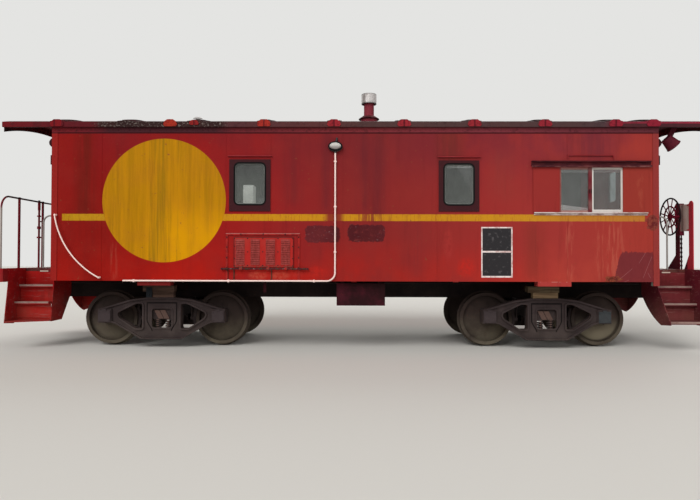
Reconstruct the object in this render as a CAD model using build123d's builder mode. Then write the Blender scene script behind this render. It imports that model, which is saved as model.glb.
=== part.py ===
from build123d import *
import math
import os

os.makedirs("parts", exist_ok=True)

# A short steel caboose on two four-wheeled trucks. Everything is in millimetres.
# X runs along the car, -Y is the side with the louvred battery door, and Z is up.
# The wheel flanges touch Z = 0, and X = Y = 0 is the middle of the car.

# Body shell
body_half = 4572
side_y = 1422
wall = 65
sill_low = 1060
floor_top = 1240
floor_thick = 50
band_low = 3300
eave_low = 3378
proud = 8
corner_strip = 90
corner_drop = 60
seat_gap = 0.3

# Roof
roof_half_length = 5307
roof_half_width = 1472
roof_edge = 3455
roof_ridge = 3670
roof_sheet = 45
end_band_deep = 150
end_band_thick = 14
rib_first = -3459
rib_pitch = 1053
rib_count = 8
rib_end_x = 4475
rib_flange = 210
rib_cap = 60
rib_flange_high = 12
rib_high = 26
lump_out = 12
lump_deep = 130
lump_outline = ((-105, 3410), (-80, 3384), (80, 3384), (105, 3410), (88, 3458), (45, 3490),
                (-45, 3490), (-88, 3458))
extra_lump = -2764
small_lump_scale = 0.7

# Smoke stack and roof vent
stack_x = 260
stack_radius = 88
stack_wall = 5
stack_base_radius = 145
collar_radius = 180
collar_low = 3846
collar_high = 3908
cap_radius = 132
cap_low = 4114
cap_rim = 4284
cap_peak = 4300
cap_sheet = 4
cap_flutes = 24
cap_pleat = 4
cap_pleat_wide = 14
spacer_low = 4180
spacer_high = 4186
vent_x = -2475
vent_y = -1000
vent_radius = 72
vent_high = 58

# Side windows: opening from x to x, then from z to z. Both sides of the car have them.
plate_windows = [(-1801, -1334, 2210, 2842), (1354, 1805, 2210, 2829)]
window_corner = 70
plate_margin_side = 78
plate_margin_low = 100
plate_margin_high = 52
plate_thick = 12
glass_thick = 6
glass_setback = 8
drip_over = 22
drip_rise = 46
drip_thick = 12
drip_out = 30

# Sliding window group
slide_left = 3086
slide_right = 4033
slide_low = 2104
slide_high = 2776
slide_split = 3550
slide_frame = 28
slide_frame_deep = 30
track_left = 2664
track_right = 4453
track_low = 2776
track_high = 2874
track_out = 46
gutter_left = 3204
gutter_right = 3895
gutter_low = 2908
gutter_high = 2963
gutter_out = 24
ledge_left = 2702
ledge_right = 4398
ledge_low = 2059
ledge_high = 2102
ledge_out = 34
shutter_left = 2690
shutter_right = 4440
shutter_thick = 14

# Battery compartment and its louvred door, hinged at the bottom rod
battery_left = -1925
battery_right = -812
battery_high = 1780
battery_door_left = -1804
battery_door_right = -905
battery_door_low = 1268
battery_door_high = 1723
battery_deep = 430
battery_sheet = 12
battery_rim = 14
battery_door_thick = 16
battery_door_gap = 5
louver_rows = 14
louver_columns = 4
louver_first = -1708
louver_apart = 228
louver_wide = 134
louver_margin = 40
louver_out = 12
rod_left = -1982
rod_right = -687
rod_z = 1245
rod_out = 42
rod_radius = 11
rod_fit = 0.3
lug_wide = 40

# End doors, which swing into the cabin
door_wide = 700
door_high = 1900
door_thick = 45
door_gap = 5
door_window_half = 150
door_window_low = 2405
door_window_high = 2917
door_corner = 40
hinge_radius = 11
hinge_pin_radius = 7
hinge_high = 90
hinge_heights = (1500, 2190, 2880)
handle_z = 2150

# Platforms and steps
well_inner = 4735
well_outer = 5297
well_back = 831
deck_end = 5300
beam_end = 5425
beam_low = 1036
step_plate = 12
step_low = 410
step_rise = 260
step_noses = (1402, 1160, 1032)
step_backs = (1070, 965, 823)
tread_thick = 38
riser_thick = 8
step_count = 3
step_outer_inset = 9
step_knee_z = 990
step_tail_y = 560
step_tail_z = 830
step_toe = 25
step_arc = (1156, 830, 560)
inner_front_top = 1040
outer_front_top = 1300

# The near left-hand steps are bent: their inner plate is set back and the lowest tread hangs askew
bent_noses = (1149, 1023)
bent_front_top = 1020
bent_front_low = 1096
bent_heel_y = 766
bent_tail_y = 462
bent_tail_z = 830
bent_outer_low = 1385
bent_tread_low = 418
bent_tread_high = 440
bent_tread_inner = 1130
bent_lip_y = 1090
bent_lip_low = 466
bent_lip_high = 480

# End railings
rail_x = 5375
rail_top = 2356
rail_corner_y = 1355
rail_bend = 190
rail_radius = 14
rail_post_radius = 19
rail_post_over = 18
rail_posts = (889, 201)
valve_pipe_y = -313
valve_pipe_radius = 16
valve_pipe_over = 28
valve_link_radius = 10
hand_rail_x = 5022
hand_rail_y = 812
hand_rail_top = 2085
hand_rail_bend = 110
hand_rail_radius = 13

# Hand brake on the right-hand end
brake_post_y = (-491, -870)
brake_post_foot = (370, 250)
brake_post_top = 2335
brake_post_wide = 115
brake_post_thick = 12
brake_post_cut = 40
brake_post_tip = 20
brake_post_knee = 230
gear_y = (-561, -685)
gear_low = 1790
gear_high = 2310
gear_deep = 70
brace_strap_high = 26
canister_y = -712
canister_radius = 52
canister_low = 1860
canister_high = 2290
chain_x = 5330
chain_y = -672
chain_radius = 10
brake_wheel_x = 5151
brake_wheel_y = -668
brake_wheel_radius = 310
brake_wheel_rim = 13
brake_wheel_z = 2095
brake_wheel_spokes = 6
brake_wheel_spoke = 10
brake_hub_radius = 48
brake_hub_half = 18
brake_shaft_radius = 22

# Couplers and underframe
center_half = 165
center_low = 740
center_web = 20
coupler_z = 902
coupler_face = 5750
coupler_root = 260
coupler_back = 25
striker_thick = 15
pocket_side = 10
pocket_rise = 30
coupler_outline = ((0, 80), (0, -80), (70, -150), (215, -178), (300, -150), (285, -118),
                   (225, -100), (185, -50), (178, 20), (165, 60), (200, 150), (90, 172))
knuckle_back = ((270, 105), (220, 152), (180, 158), (150, 60), (175, 10), (225, -38))
knuckle_nose = ((-12, -52), (0, -30), (0, 40))
side_sill_wide = 100
bolster_half = 150
bolster_low = 870
bolster_root_y = 480
bolster_knee_y = 850
bearer_places = (-1560, 0, 1560)
bearer_half = 40
bearer_low = 1040
end_plate_half = 250
end_plate_low = 990

# Trucks
truck_x = 3010
wheel_base = 1778
wheel_radius = 419.1
flange_radius = 444.5
axle_z = 444.5
wheel_inner = 678
wheel_wide = 140
flange_wide = 34
hub_radius = 135
hub_lead = 25
hub_proud = 20
plate_set = 42
plate_web = 30
flange_round = 9
tread_drop = 3
seat_radius = 72
box_clear = 8
axle_radius = 76
journal_radius = 63.5
journal_end = 1040
journal_fit = 0.3
frame_outer = 1085
frame_inner = 925
frame_flange = 30
box_half = 108
box_low = 392
box_high = 610
center_pad_half = 220
center_plate_z = 690
center_plate_radius = 150
ring_plate = 15
window_half = 245
window_foot = 176
window_knee = 420
window_low = 222
window_high = 709
hole_half = 153
hole_low = 313
hole_high = 612
frame_bead = 24
box_inner = 868
rim_bore = 365
block_low_x = (-209, 181)
block_high_x = (-297, 193)
block_middle = 877
block_top = 970
shoe_gap = 6
shoe_thick = 38
shoe_angle = 22
shoe_y = (722, 800)
hanger_top = 735
bolster_beam_half = 160
bolster_beam_low = 440
bolster_beam_high = 640
bolster_inset = 30
gib_thick = 16
gib_high = 585
gib_low = 450
gib_lean = 70
gib_wide = 82
gib_pitch = 92
gib_left = -132
spring_radius = 50
spring_x = 80
block_y = (940, 1050)

# Small fittings
battery_lap = 16
door_sill_gap = 8
door_free_gap = 8
pipe_y = -420
pipe_z = 1000
pipe_radius = 21
pipe_end = 5560
socket_deep = 40
conduit_radius = 12
conduit_stand = 17
conduit_x = -280
conduit_left = -3470
conduit_low = 1064
conduit_bend = 125
conduit_clips = (-3305, -1880, -595)
conduit_wall_clips = (1500, 2180, 2860)
lamp_z = 3086
lamp_radius = 78
lamp_half_wide = 108
lamp_out = 77
lamp_bevel = 40
lamp_stub_high = 132
lamp_stub_lean = 26
lamp_stub_radius = 15
grab_top = (4493, 2050)
grab_mid = (4270, 1500)
grab_foot = (3825, 1111)
grab_radius = 10
grab_out = 55
valve_pipe_knobs = ((2280, 65, 22), (2114, 11, 32), (1918, 22, 30), (1752, 13, 34))
valve_link_z = 2026
lamp_base_inset = 112
lamp_base_z = 3165
lamp_base_radius = 70
lamp_base_deep = 85
lamp_base_round = 30
marker_inset = (74, 12)
marker_thick = 28
marker_low = 2820
marker_high = 2960
end_lamp_x = 4805
end_lamp_z = 3177
end_lamp_back = 78
end_lamp_radius = 112
end_lamp_long = 170
end_lamp_rim = 14
end_lamp_foot = 4752
end_lamp_hanger_x = 4900
end_lamp_strap = 14
coupler_shank = 130
coupler_head_half = 130
coupler_knuckle_half = 112
cylinder_left = 900
cylinder_right = 1330
cylinder_rod_end = 1480
cylinder_cover = 30
cylinder_y = 560
cylinder_z = 930
cylinder_radius = 125
reservoir_left = -1320
reservoir_right = -420
reservoir_y = 640
reservoir_z = 930
reservoir_radius = 150
reservoir_bevel = 45
strap_half = 60
strap_wide = 45
strap_sink = 22
strap_inset = 95
tool_left = -262
tool_right = 480
tool_front = 1250
tool_back = 880
tool_low = 681
tool_high = 1022
tool_strap = 50
tool_strap_thick = 12
tool_strap_inset = 60
hanger_x = -1363
hanger_half = 22
hanger_low = 881
cabinet_left = -1870
cabinet_right = -1270
cabinet_deep = 480
cabinet_top = 2560
cabinet_edge = 20
cabinet_door_thick = 12
cabinet_door_low = 1300

# Shared shapes worked out from the sizes above
inner_y = side_y - wall
end_inner = body_half - wall
floor_low = floor_top - floor_thick
lamp_base_y = -(side_y - lamp_base_inset)
rise = roof_ridge - roof_edge
roof_radius = (roof_half_width ** 2 + rise ** 2) / (2 * rise)
roof_center_z = roof_ridge - roof_radius
under_radius = roof_radius - roof_sheet


def arc_z(radius, y):
    # Height of a roof arc of this radius over a place y across the car.
    return roof_center_z + math.sqrt(radius ** 2 - y ** 2)


def block(x_from, x_to, y_from, y_to, z_from, z_to, mode=Mode.ADD):
    # A square-cornered piece between two corners.
    middle = ((x_from + x_to) / 2, (y_from + y_to) / 2, (z_from + z_to) / 2)
    with Locations(middle):
        Box(abs(x_to - x_from), abs(y_to - y_from), abs(z_to - z_from), mode=mode)


def rod(start, end, radius, mode=Mode.ADD):
    # A round bar from one point to another.
    direction = Vector(*end) - Vector(*start)
    with Locations(Plane(origin=start, z_dir=direction)):
        Cylinder(radius, direction.length, align=(Align.CENTER, Align.CENTER, Align.MIN), mode=mode)


def arch(outer, inner, half_width):
    # The face between two roof arcs, cut off square at both sides.
    with BuildLine() as outline:
        Line((-half_width, arc_z(inner, half_width)), (-half_width, arc_z(outer, half_width)))
        ThreePointArc((-half_width, arc_z(outer, half_width)), (0, arc_z(outer, 0)),
                      (half_width, arc_z(outer, half_width)))
        Line((half_width, arc_z(outer, half_width)), (half_width, arc_z(inner, half_width)))
        ThreePointArc((half_width, arc_z(inner, half_width)), (0, arc_z(inner, 0)),
                      (-half_width, arc_z(inner, half_width)))
    make_face(outline.edges())


# Center sill: an inverted channel from end beam to end beam, with a center plate at each truck
with BuildPart() as center_sill:
    for side in (-1, 1):
        block(-deck_end, deck_end, side * (center_half - center_web), side * center_half,
              center_low, floor_low - center_web)
    block(-deck_end, deck_end, -center_half, center_half, floor_low - center_web, floor_low)
    for x in (-truck_x, truck_x):
        block(x - center_pad_half, x + center_pad_half, -center_half, center_half,
              center_low - center_web, center_low)
        with BuildSketch(Plane.XY.offset(center_plate_z)) as plate:
            with Locations((x, 0)):
                Circle(center_plate_radius)
        extrude(amount=center_low - center_web - center_plate_z)
center_sill.part.label = "center_sill"
export_step(center_sill.part, "parts/center_sill.step")

# Side sills
with BuildPart() as side_sills:
    for side in (-1, 1):
        block(-body_half, body_half, side * (inner_y - side_sill_wide), side * inner_y,
              sill_low, floor_low)
side_sills.part.label = "side_sills"
export_step(side_sills.part, "parts/side_sills.step")

# Body bolsters over the trucks, and the cross-bearers between them
sill_y = inner_y - side_sill_wide
with BuildPart() as cross_members:
    for side in (-1, 1):
        for x in (-truck_x, truck_x):
            with BuildSketch(Plane.YZ.offset(x)):
                with BuildLine():
                    Polyline((side * center_half, floor_low), (side * sill_y, floor_low),
                             (side * sill_y, sill_low), (side * side_y, sill_low),
                             (side * side_y, end_plate_low), (side * bolster_knee_y, end_plate_low),
                             (side * bolster_root_y, bolster_low),
                             (side * center_half, bolster_low), close=True)
                make_face()
            extrude(amount=bolster_half, both=True)
            block(x - end_plate_half, x + end_plate_half, side * sill_y, side * side_y,
                  end_plate_low, sill_low)
        for x in bearer_places:
            block(x - bearer_half, x + bearer_half, side * center_half, side * sill_y,
                  bearer_low, floor_low)
    with BuildSketch(Plane.YZ.offset(-body_half)):
        with Locations((pipe_y, pipe_z)):
            Circle(pipe_radius + seat_gap)
    extrude(amount=2 * body_half, mode=Mode.SUBTRACT)
cross_members.part.label = "cross_members"
export_step(cross_members.part, "parts/cross_members.step")

with BuildPart() as floor:
    block(-body_half, body_half, -inner_y, inner_y, floor_low, floor_top)
floor.part.label = "floor"
export_step(floor.part, "parts/floor.step")

# Side walls, each as thick as the whole wall, with their windows cut
for side, name in ((-1, "side_wall_near"), (1, "side_wall_far")):
    with BuildPart() as side_wall:
        with BuildSketch(Plane.YZ):
            with BuildLine():
                Polyline((side * side_y, sill_low), (side * inner_y, sill_low),
                         (side * inner_y, arc_z(under_radius, inner_y) - seat_gap),
                         (side * side_y, arc_z(under_radius, side_y) - seat_gap), close=True)
            make_face()
        extrude(amount=body_half, both=True)
        block(-body_half, body_half, side * side_y, side * (side_y + proud), band_low, eave_low)
        for end in (-1, 1):
            corner_low = sill_low - (corner_drop if end == 1 else 0)
            block(end * (body_half - corner_strip), end * body_half, side * side_y,
                  side * (side_y + proud), corner_low, band_low)
        block(body_half - corner_strip, body_half, side * inner_y, side * side_y,
              sill_low - corner_drop, sill_low)
        with BuildSketch(Plane.XZ) as openings:
            for left, right, low, high in plate_windows:
                with Locations(((left + right) / 2, (low + high) / 2)):
                    RectangleRounded(right - left, high - low, window_corner)
            with Locations(((slide_left + slide_right) / 2, (slide_low + slide_high) / 2)):
                Rectangle(slide_right - slide_left, slide_high - slide_low)
        extrude(amount=-side * 2 * side_y, mode=Mode.SUBTRACT)
        if side == -1:
            block(battery_door_left + battery_lap, battery_door_right - battery_lap,
                  -side_y - proud, -inner_y, battery_door_low + battery_lap,
                  battery_door_high - battery_lap, mode=Mode.SUBTRACT)
    side_wall.part.label = name
    export_step(side_wall.part, f"parts/{name}.step")

# End walls under the roof arc, each with its doorway and the pins of the door hinges.
# On the right-hand end the door swings from its -Y edge, and the left-hand end is turned half round.
hinge_x = end_inner - hinge_radius - 1
hinge_y = -(door_wide / 2 + door_gap)
door_low = floor_top + door_sill_gap
door_top = door_low + door_high
for end, name in ((-1, "end_wall_left"), (1, "end_wall_right")):
    with BuildPart() as end_wall:
        with BuildSketch(Plane.YZ.offset(end * end_inner)):
            with BuildLine():
                top = under_radius - seat_gap
                Line((-inner_y, floor_top), (-inner_y, arc_z(top, inner_y)))
                ThreePointArc((-inner_y, arc_z(top, inner_y)), (0, arc_z(top, 0)),
                              (inner_y, arc_z(top, inner_y)))
                Line((inner_y, arc_z(top, inner_y)), (inner_y, floor_top))
                Line((inner_y, floor_top), (-inner_y, floor_top))
            make_face()
        extrude(amount=end * wall)
        block(end * end_inner, end * body_half, end * hinge_y, end * (door_wide / 2 + door_free_gap),
              floor_top, door_top + door_sill_gap, mode=Mode.SUBTRACT)
        for z in hinge_heights:
            for up in (-1, 1):
                lug_z = z + up * (hinge_high / 2 + seat_gap)
                block(end * (hinge_x - hinge_radius), end * (hinge_x + 8),
                      end * (hinge_y - hinge_radius), end * (hinge_y + 8), lug_z, lug_z + up * 12)
                block(end * (hinge_x - hinge_radius), end * end_inner, end * (hinge_y - 50),
                      end * (hinge_y - hinge_radius), lug_z, lug_z + up * 12)
            rod((end * hinge_x, end * hinge_y, z - hinge_high / 2 - 12),
                (end * hinge_x, end * hinge_y, z + hinge_high / 2 + 12), hinge_pin_radius)
    end_wall.part.label = name
    export_step(end_wall.part, f"parts/{name}.step")

# End doors with their window, a knob on each face and a hinge leaf at each pin
for end, side_name in ((-1, "left"), (1, "right")):
    with BuildPart() as end_door:
        block(end * end_inner, end * (end_inner + door_thick), -door_wide / 2, door_wide / 2,
              door_low, door_top)
        with BuildSketch(Plane.YZ.offset(end * end_inner)):
            with Locations((0, (door_window_low + door_window_high) / 2)):
                RectangleRounded(2 * door_window_half, door_window_high - door_window_low, door_corner)
        extrude(amount=end * door_thick, mode=Mode.SUBTRACT)
        for z in hinge_heights:
            rod((end * hinge_x, end * hinge_y, z - hinge_high / 2),
                (end * hinge_x, end * hinge_y, z + hinge_high / 2), hinge_radius)
            block(end * (hinge_x + 8), end * end_inner, end * hinge_y, end * (hinge_y + 65),
                  z - hinge_high / 2, z + hinge_high / 2)
            rod((end * hinge_x, end * hinge_y, z - hinge_high / 2),
                (end * hinge_x, end * hinge_y, z + hinge_high / 2), hinge_pin_radius + seat_gap,
                mode=Mode.SUBTRACT)
        knob_y = end * (door_wide / 2 - 60)
        rod((end * (end_inner - 55), knob_y, handle_z), (end * end_inner, knob_y, handle_z), 14)
        rod((end * (end_inner - 62), knob_y, handle_z), (end * (end_inner - 40), knob_y, handle_z), 28)
        rod((end * (end_inner + door_thick), knob_y, handle_z),
            (end * (end_inner + door_thick + 55), knob_y, handle_z), 14)
        rod((end * (end_inner + door_thick + 40), knob_y, handle_z),
            (end * (end_inner + door_thick + 62), knob_y, handle_z), 28)
    end_door.part.label = f"end_door_{side_name}"
    export_step(end_door.part, f"parts/end_door_{side_name}.step")

    with BuildPart() as end_door_glass:
        with BuildSketch(Plane.YZ.offset(end * (end_inner + door_thick / 2))):
            with Locations((0, (door_window_low + door_window_high) / 2)):
                RectangleRounded(2 * (door_window_half - seat_gap),
                                 door_window_high - door_window_low - 2 * seat_gap, door_corner)
        extrude(amount=glass_thick / 2, both=True)
    end_door_glass.part.label = f"end_door_glass_{side_name}"
    export_step(end_door_glass.part, f"parts/end_door_glass_{side_name}.step")

# Roof: an arched sheet with eave boards, a deep arched band at each end, and raised seam ribs
rib_places = [rib_first + rib_pitch * number for number in range(rib_count)] + [-rib_end_x, rib_end_x]
small_lump = rib_places[1]
lump_places = [(x, 1) for x in rib_places[2:]]
lump_places += [(extra_lump, 1), (small_lump, small_lump_scale)]
with BuildPart() as roof:
    with BuildSketch(Plane.YZ):
        arch(roof_radius, under_radius, roof_half_width)
    extrude(amount=roof_half_length, both=True)
    for side in (-1, 1):
        block(-roof_half_length, roof_half_length, side * side_y, side * roof_half_width,
              eave_low, roof_edge)
    for end in (-1, 1):
        with BuildSketch(Plane.YZ.offset(end * roof_half_length)):
            arch(roof_radius, roof_radius - end_band_deep, side_y)
        extrude(amount=-end * end_band_thick)
    for x in rib_places:
        with BuildSketch(Plane.YZ.offset(x)):
            arch(roof_radius + rib_flange_high, roof_radius - roof_sheet / 2, roof_half_width)
        extrude(amount=rib_flange / 2, both=True)
        with BuildSketch(Plane.YZ.offset(x)):
            arch(roof_radius + rib_high, roof_radius - roof_sheet / 2, roof_half_width)
        extrude(amount=rib_cap / 2, both=True)
    # A rounded lump where a rib turns down over the eave: whole at the eave, and above the sheet only
    # further in
    for x, scale in lump_places:
        outline = [(x + scale * across, roof_edge + scale * (z - roof_edge)) for across, z in lump_outline]
        for side in (-1, 1):
            front = side * (roof_half_width + lump_out)
            for trim, deep in ((False, roof_half_width + lump_out - side_y), (True, lump_deep)):
                with BuildSketch(Plane(origin=(0, front, 0), x_dir=(1, 0, 0), z_dir=(0, -1, 0))):
                    with BuildLine():
                        Polyline(*outline, close=True)
                    make_face()
                    if trim:
                        with Locations((x, roof_edge)):
                            Rectangle(2 * rib_flange, 2 * rib_flange, align=(Align.CENTER, Align.MAX),
                                      mode=Mode.SUBTRACT)
                extrude(amount=side * deep)
roof.part.label = "roof"
export_step(roof.part, "parts/roof.step")

# Smoke stack with its base and rain collar, and the pleated cap over it
stack_plane = Plane(origin=(stack_x, 0, 0), x_dir=(1, 0, 0), z_dir=(0, -1, 0))
stack_axis = Axis((stack_x, 0, 0), (0, 0, 1))
stack_inner = stack_radius - stack_wall
stack_low = roof_ridge + seat_gap
stack_top = cap_rim - 34
with BuildPart() as smoke_stack:
    with BuildSketch(stack_plane):
        with BuildLine():
            Polyline((stack_inner, stack_low), (stack_base_radius, stack_low),
                     (stack_base_radius, collar_low), (collar_radius, collar_low),
                     (collar_radius, collar_low + 6), (stack_radius + 12, collar_high),
                     (stack_radius, collar_high + 8), (stack_radius, stack_top),
                     (stack_inner, stack_top), close=True)
        make_face()
    revolve(axis=stack_axis)
smoke_stack.part.label = "smoke_stack"
export_step(smoke_stack.part, "parts/smoke_stack.step")

with BuildPart() as stack_cap:
    with BuildSketch(Plane.XY.offset(cap_low)):
        with Locations((stack_x, 0)):
            Circle(cap_radius - cap_pleat)
            with PolarLocations(cap_radius - cap_pleat, cap_flutes):
                Rectangle(2 * cap_pleat, cap_pleat_wide)
            Circle(cap_radius - cap_pleat - cap_sheet, mode=Mode.SUBTRACT)
    extrude(amount=cap_rim - cap_low)
    with BuildSketch(Plane.XY.offset(spacer_low)):
        with Locations((stack_x, 0)):
            Circle(cap_radius - cap_pleat - cap_sheet / 2)
            Circle(stack_radius + seat_gap, mode=Mode.SUBTRACT)
    extrude(amount=spacer_high - spacer_low)
    with BuildSketch(stack_plane):
        with BuildLine():
            Line((0, cap_rim - cap_sheet), (cap_radius - cap_pleat, cap_rim - cap_sheet))
            Line((cap_radius - cap_pleat, cap_rim - cap_sheet), (cap_radius - cap_pleat, cap_rim))
            Line((cap_radius - cap_pleat, cap_rim), (cap_radius / 2, cap_peak - cap_sheet))
            Line((cap_radius / 2, cap_peak - cap_sheet), (0, cap_peak))
            Line((0, cap_peak), (0, cap_rim - cap_sheet))
        make_face()
    revolve(axis=stack_axis)
stack_cap.part.label = "stack_cap"
export_step(stack_cap.part, "parts/stack_cap.step")

vent_seat = (vent_x, vent_y, arc_z(roof_radius + rib_flange_high, vent_y))
vent_up = Vector(0, vent_y, vent_seat[2] - roof_center_z).normalized()
with BuildPart() as roof_vent:
    with BuildSketch(Plane(origin=vent_seat, x_dir=(1, 0, 0), z_dir=vent_up.cross(Vector(1, 0, 0)))):
        with BuildLine():
            Polyline((0, -seat_gap), (vent_radius / 2, -seat_gap), (vent_radius / 2, -vent_high / 2),
                     (vent_radius, -vent_high / 2), (vent_radius, -vent_high / 2 - 10),
                     (vent_radius / 2, -vent_high), (0, -vent_high), close=True)
        make_face()
    revolve(axis=Axis(vent_seat, vent_up))
roof_vent.part.label = "roof_vent"
export_step(roof_vent.part, "parts/roof_vent.step")

# Side windows: a plate round each, its glass, and a drip rail over it
with BuildPart() as window_frames:
    for side in (-1, 1):
        with BuildSketch(Plane.XZ.offset(-side * side_y)):
            for left, right, low, high in plate_windows:
                with BuildLine():
                    frame_left = left - plate_margin_side
                    frame_right = right + plate_margin_side
                    frame_low = low - plate_margin_low
                    frame_high = high + plate_margin_high
                    Polyline((frame_left, frame_low), (frame_right, frame_low),
                             (frame_right, frame_high), (frame_left, frame_high), close=True)
                make_face()
                with Locations(((left + right) / 2, (low + high) / 2)):
                    RectangleRounded(right - left, high - low, window_corner, mode=Mode.SUBTRACT)
        extrude(amount=-side * plate_thick)
window_frames.part.label = "window_frames"
export_step(window_frames.part, "parts/window_frames.step")

panes = ((slide_left, slide_split), (slide_split, slide_right))
with BuildPart() as window_glass:
    for side in (-1, 1):
        with BuildSketch(Plane.XZ.offset(-side * (side_y - glass_setback))):
            for left, right, low, high in plate_windows:
                with Locations(((left + right) / 2, (low + high) / 2)):
                    RectangleRounded(right - left - 2 * seat_gap, high - low - 2 * seat_gap,
                                     window_corner)
        extrude(amount=side * glass_thick)
        for left, right in panes:
            block(left + slide_frame, right - slide_frame, side * (side_y - 16),
                  side * (side_y - 16 - glass_thick), slide_low + slide_frame, slide_high - slide_frame)
window_glass.part.label = "window_glass"
export_step(window_glass.part, "parts/window_glass.step")

with BuildPart() as drip_rails:
    for side in (-1, 1):
        for left, right, low, high in plate_windows:
            block(left - plate_margin_side - drip_over, right + plate_margin_side + drip_over,
                  side * side_y, side * (side_y + drip_out), high + plate_margin_high + drip_rise,
                  high + plate_margin_high + drip_rise + drip_thick)
        block(gutter_left, gutter_right, side * side_y, side * (side_y + gutter_out),
              gutter_high - 10, gutter_high)
        for x_from, x_to in ((gutter_left, gutter_left + 10), (gutter_right - 10, gutter_right)):
            block(x_from, x_to, side * side_y, side * (side_y + gutter_out), gutter_low, gutter_high)
drip_rails.part.label = "drip_rails"
export_step(drip_rails.part, "parts/drip_rails.step")

# Sliding windows: the track above, the ledge below, two glazed frames and the sheet shutters
with BuildPart() as slider_rails:
    for side in (-1, 1):
        block(track_left, track_right, side * side_y, side * (side_y + track_out),
              track_high - 14, track_high)
        block(track_left, track_right, side * side_y, side * (side_y + 10), track_low + 20, track_high)
        block(track_left, track_right, side * side_y, side * (side_y + track_out), track_low + 20,
              track_low + 34)
        block(track_left, track_right, side * (side_y + track_out - 10), side * (side_y + track_out),
              track_low, track_low + 34)
        block(ledge_left, ledge_right, side * side_y, side * (side_y + ledge_out), ledge_high - 16,
              ledge_high)
        block(ledge_left, ledge_right, side * side_y, side * (side_y + 12), ledge_low, ledge_high)
slider_rails.part.label = "slider_rails"
export_step(slider_rails.part, "parts/slider_rails.step")

with BuildPart() as slider_frames:
    for side in (-1, 1):
        frame_out = side * (side_y - 2)
        frame_in = side * (side_y - 2 - slide_frame_deep)
        block(slide_left, slide_right, frame_out, frame_in, slide_low, slide_high)
        for left, right in panes:
            block(left + slide_frame, right - slide_frame, frame_out, frame_in,
                  slide_low + slide_frame, slide_high - slide_frame, mode=Mode.SUBTRACT)
slider_frames.part.label = "slider_frames"
export_step(slider_frames.part, "parts/slider_frames.step")

with BuildPart() as slider_shutters:
    for side in (-1, 1):
        for left, right in ((shutter_left, slide_left), (slide_right, shutter_right)):
            block(left, right, side * side_y, side * (side_y + shutter_thick), ledge_high,
                  track_low + 20)
slider_shutters.part.label = "slider_shutters"
export_step(slider_shutters.part, "parts/slider_shutters.step")

# Battery compartment: the box inside the wall, the rim round its door and the hinge rod in its lugs
rod_y = -(side_y + rod_out)
strap_places = [battery_door_left + 110, (battery_door_left + battery_door_right) / 2 + 70,
                battery_door_right - 110]
with BuildPart() as battery_box:
    back = -inner_y + battery_deep
    block(battery_door_left - 60, battery_door_right + 60, -inner_y, back, floor_top, battery_high)
    block(battery_door_left - 60 + battery_sheet, battery_door_right + 60 - battery_sheet,
          -inner_y, back - battery_sheet, floor_top + battery_sheet, battery_high - battery_sheet,
          mode=Mode.SUBTRACT)
    rim_y = -side_y - battery_rim
    block(battery_left, battery_right, -side_y, rim_y, sill_low + 2, battery_high)
    block(battery_left + 30, battery_right - 30, -side_y, rim_y, sill_low, battery_high - 30,
          mode=Mode.SUBTRACT)
    rod((rod_left, rod_y, rod_z), (rod_right, rod_y, rod_z), rod_radius)
    for x in (rod_left, battery_left - 14, battery_right + 14, rod_right):
        block(x - 8, x + 8, -side_y, rod_y - 14, rod_z - 15, rod_z + 15)
battery_box.part.label = "battery_box"
export_step(battery_box.part, "parts/battery_box.step")

louver_pitch = (battery_door_high - battery_door_low - 2 * louver_margin) / louver_rows
with BuildPart() as louver_door:
    door_in = -side_y - battery_door_gap
    door_out = door_in - battery_door_thick
    block(battery_door_left, battery_door_right, door_in, door_out, battery_door_low, battery_door_high)
    for column in range(louver_columns):
        louver_x = louver_first + louver_apart * column
        with BuildSketch(Plane.YZ.offset(louver_x)):
            for row in range(louver_rows):
                z = battery_door_low + louver_margin + louver_pitch * row
                with BuildLine():
                    Polyline((door_out, z), (door_out - louver_out, z),
                             (door_out, z + louver_pitch * 0.7), close=True)
                make_face()
        extrude(amount=louver_wide / 2, both=True)
    for x in strap_places:
        block(x - lug_wide / 2, x + lug_wide / 2, door_out, door_out - 8, rod_z, battery_door_low + 45)
        rod((x - lug_wide / 2, rod_y, rod_z), (x + lug_wide / 2, rod_y, rod_z), rod_radius + 9)
        rod((x - lug_wide / 2, rod_y, rod_z), (x + lug_wide / 2, rod_y, rod_z),
            rod_radius + rod_fit, mode=Mode.SUBTRACT)
louver_door.part.label = "louver_door"
export_step(louver_door.part, "parts/louver_door.step")

# Conduit on the near wall, with its clips, and the yard lamp at its top
conduit_y = -side_y - conduit_stand - conduit_radius
lamp_socket = lamp_z - lamp_radius - 20
with BuildPart() as wall_conduit:
    with BuildLine(Plane.XZ.offset(-conduit_y)):
        FilletPolyline((conduit_left, conduit_low), (conduit_x, conduit_low),
                       (conduit_x, lamp_socket), radius=conduit_bend)
    with BuildSketch(Plane(origin=(conduit_left, conduit_y, conduit_low), z_dir=(1, 0, 0))):
        Circle(conduit_radius)
    sweep()
    for x in conduit_clips:
        block(x - 9, x + 9, -side_y, conduit_y - conduit_radius - 4, conduit_low - 20, conduit_low + 20)
    for z in conduit_wall_clips:
        block(conduit_x - 20, conduit_x + 20, -side_y, conduit_y - conduit_radius - 4, z - 9, z + 9)
wall_conduit.part.label = "wall_conduit"
export_step(wall_conduit.part, "parts/wall_conduit.step")

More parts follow.
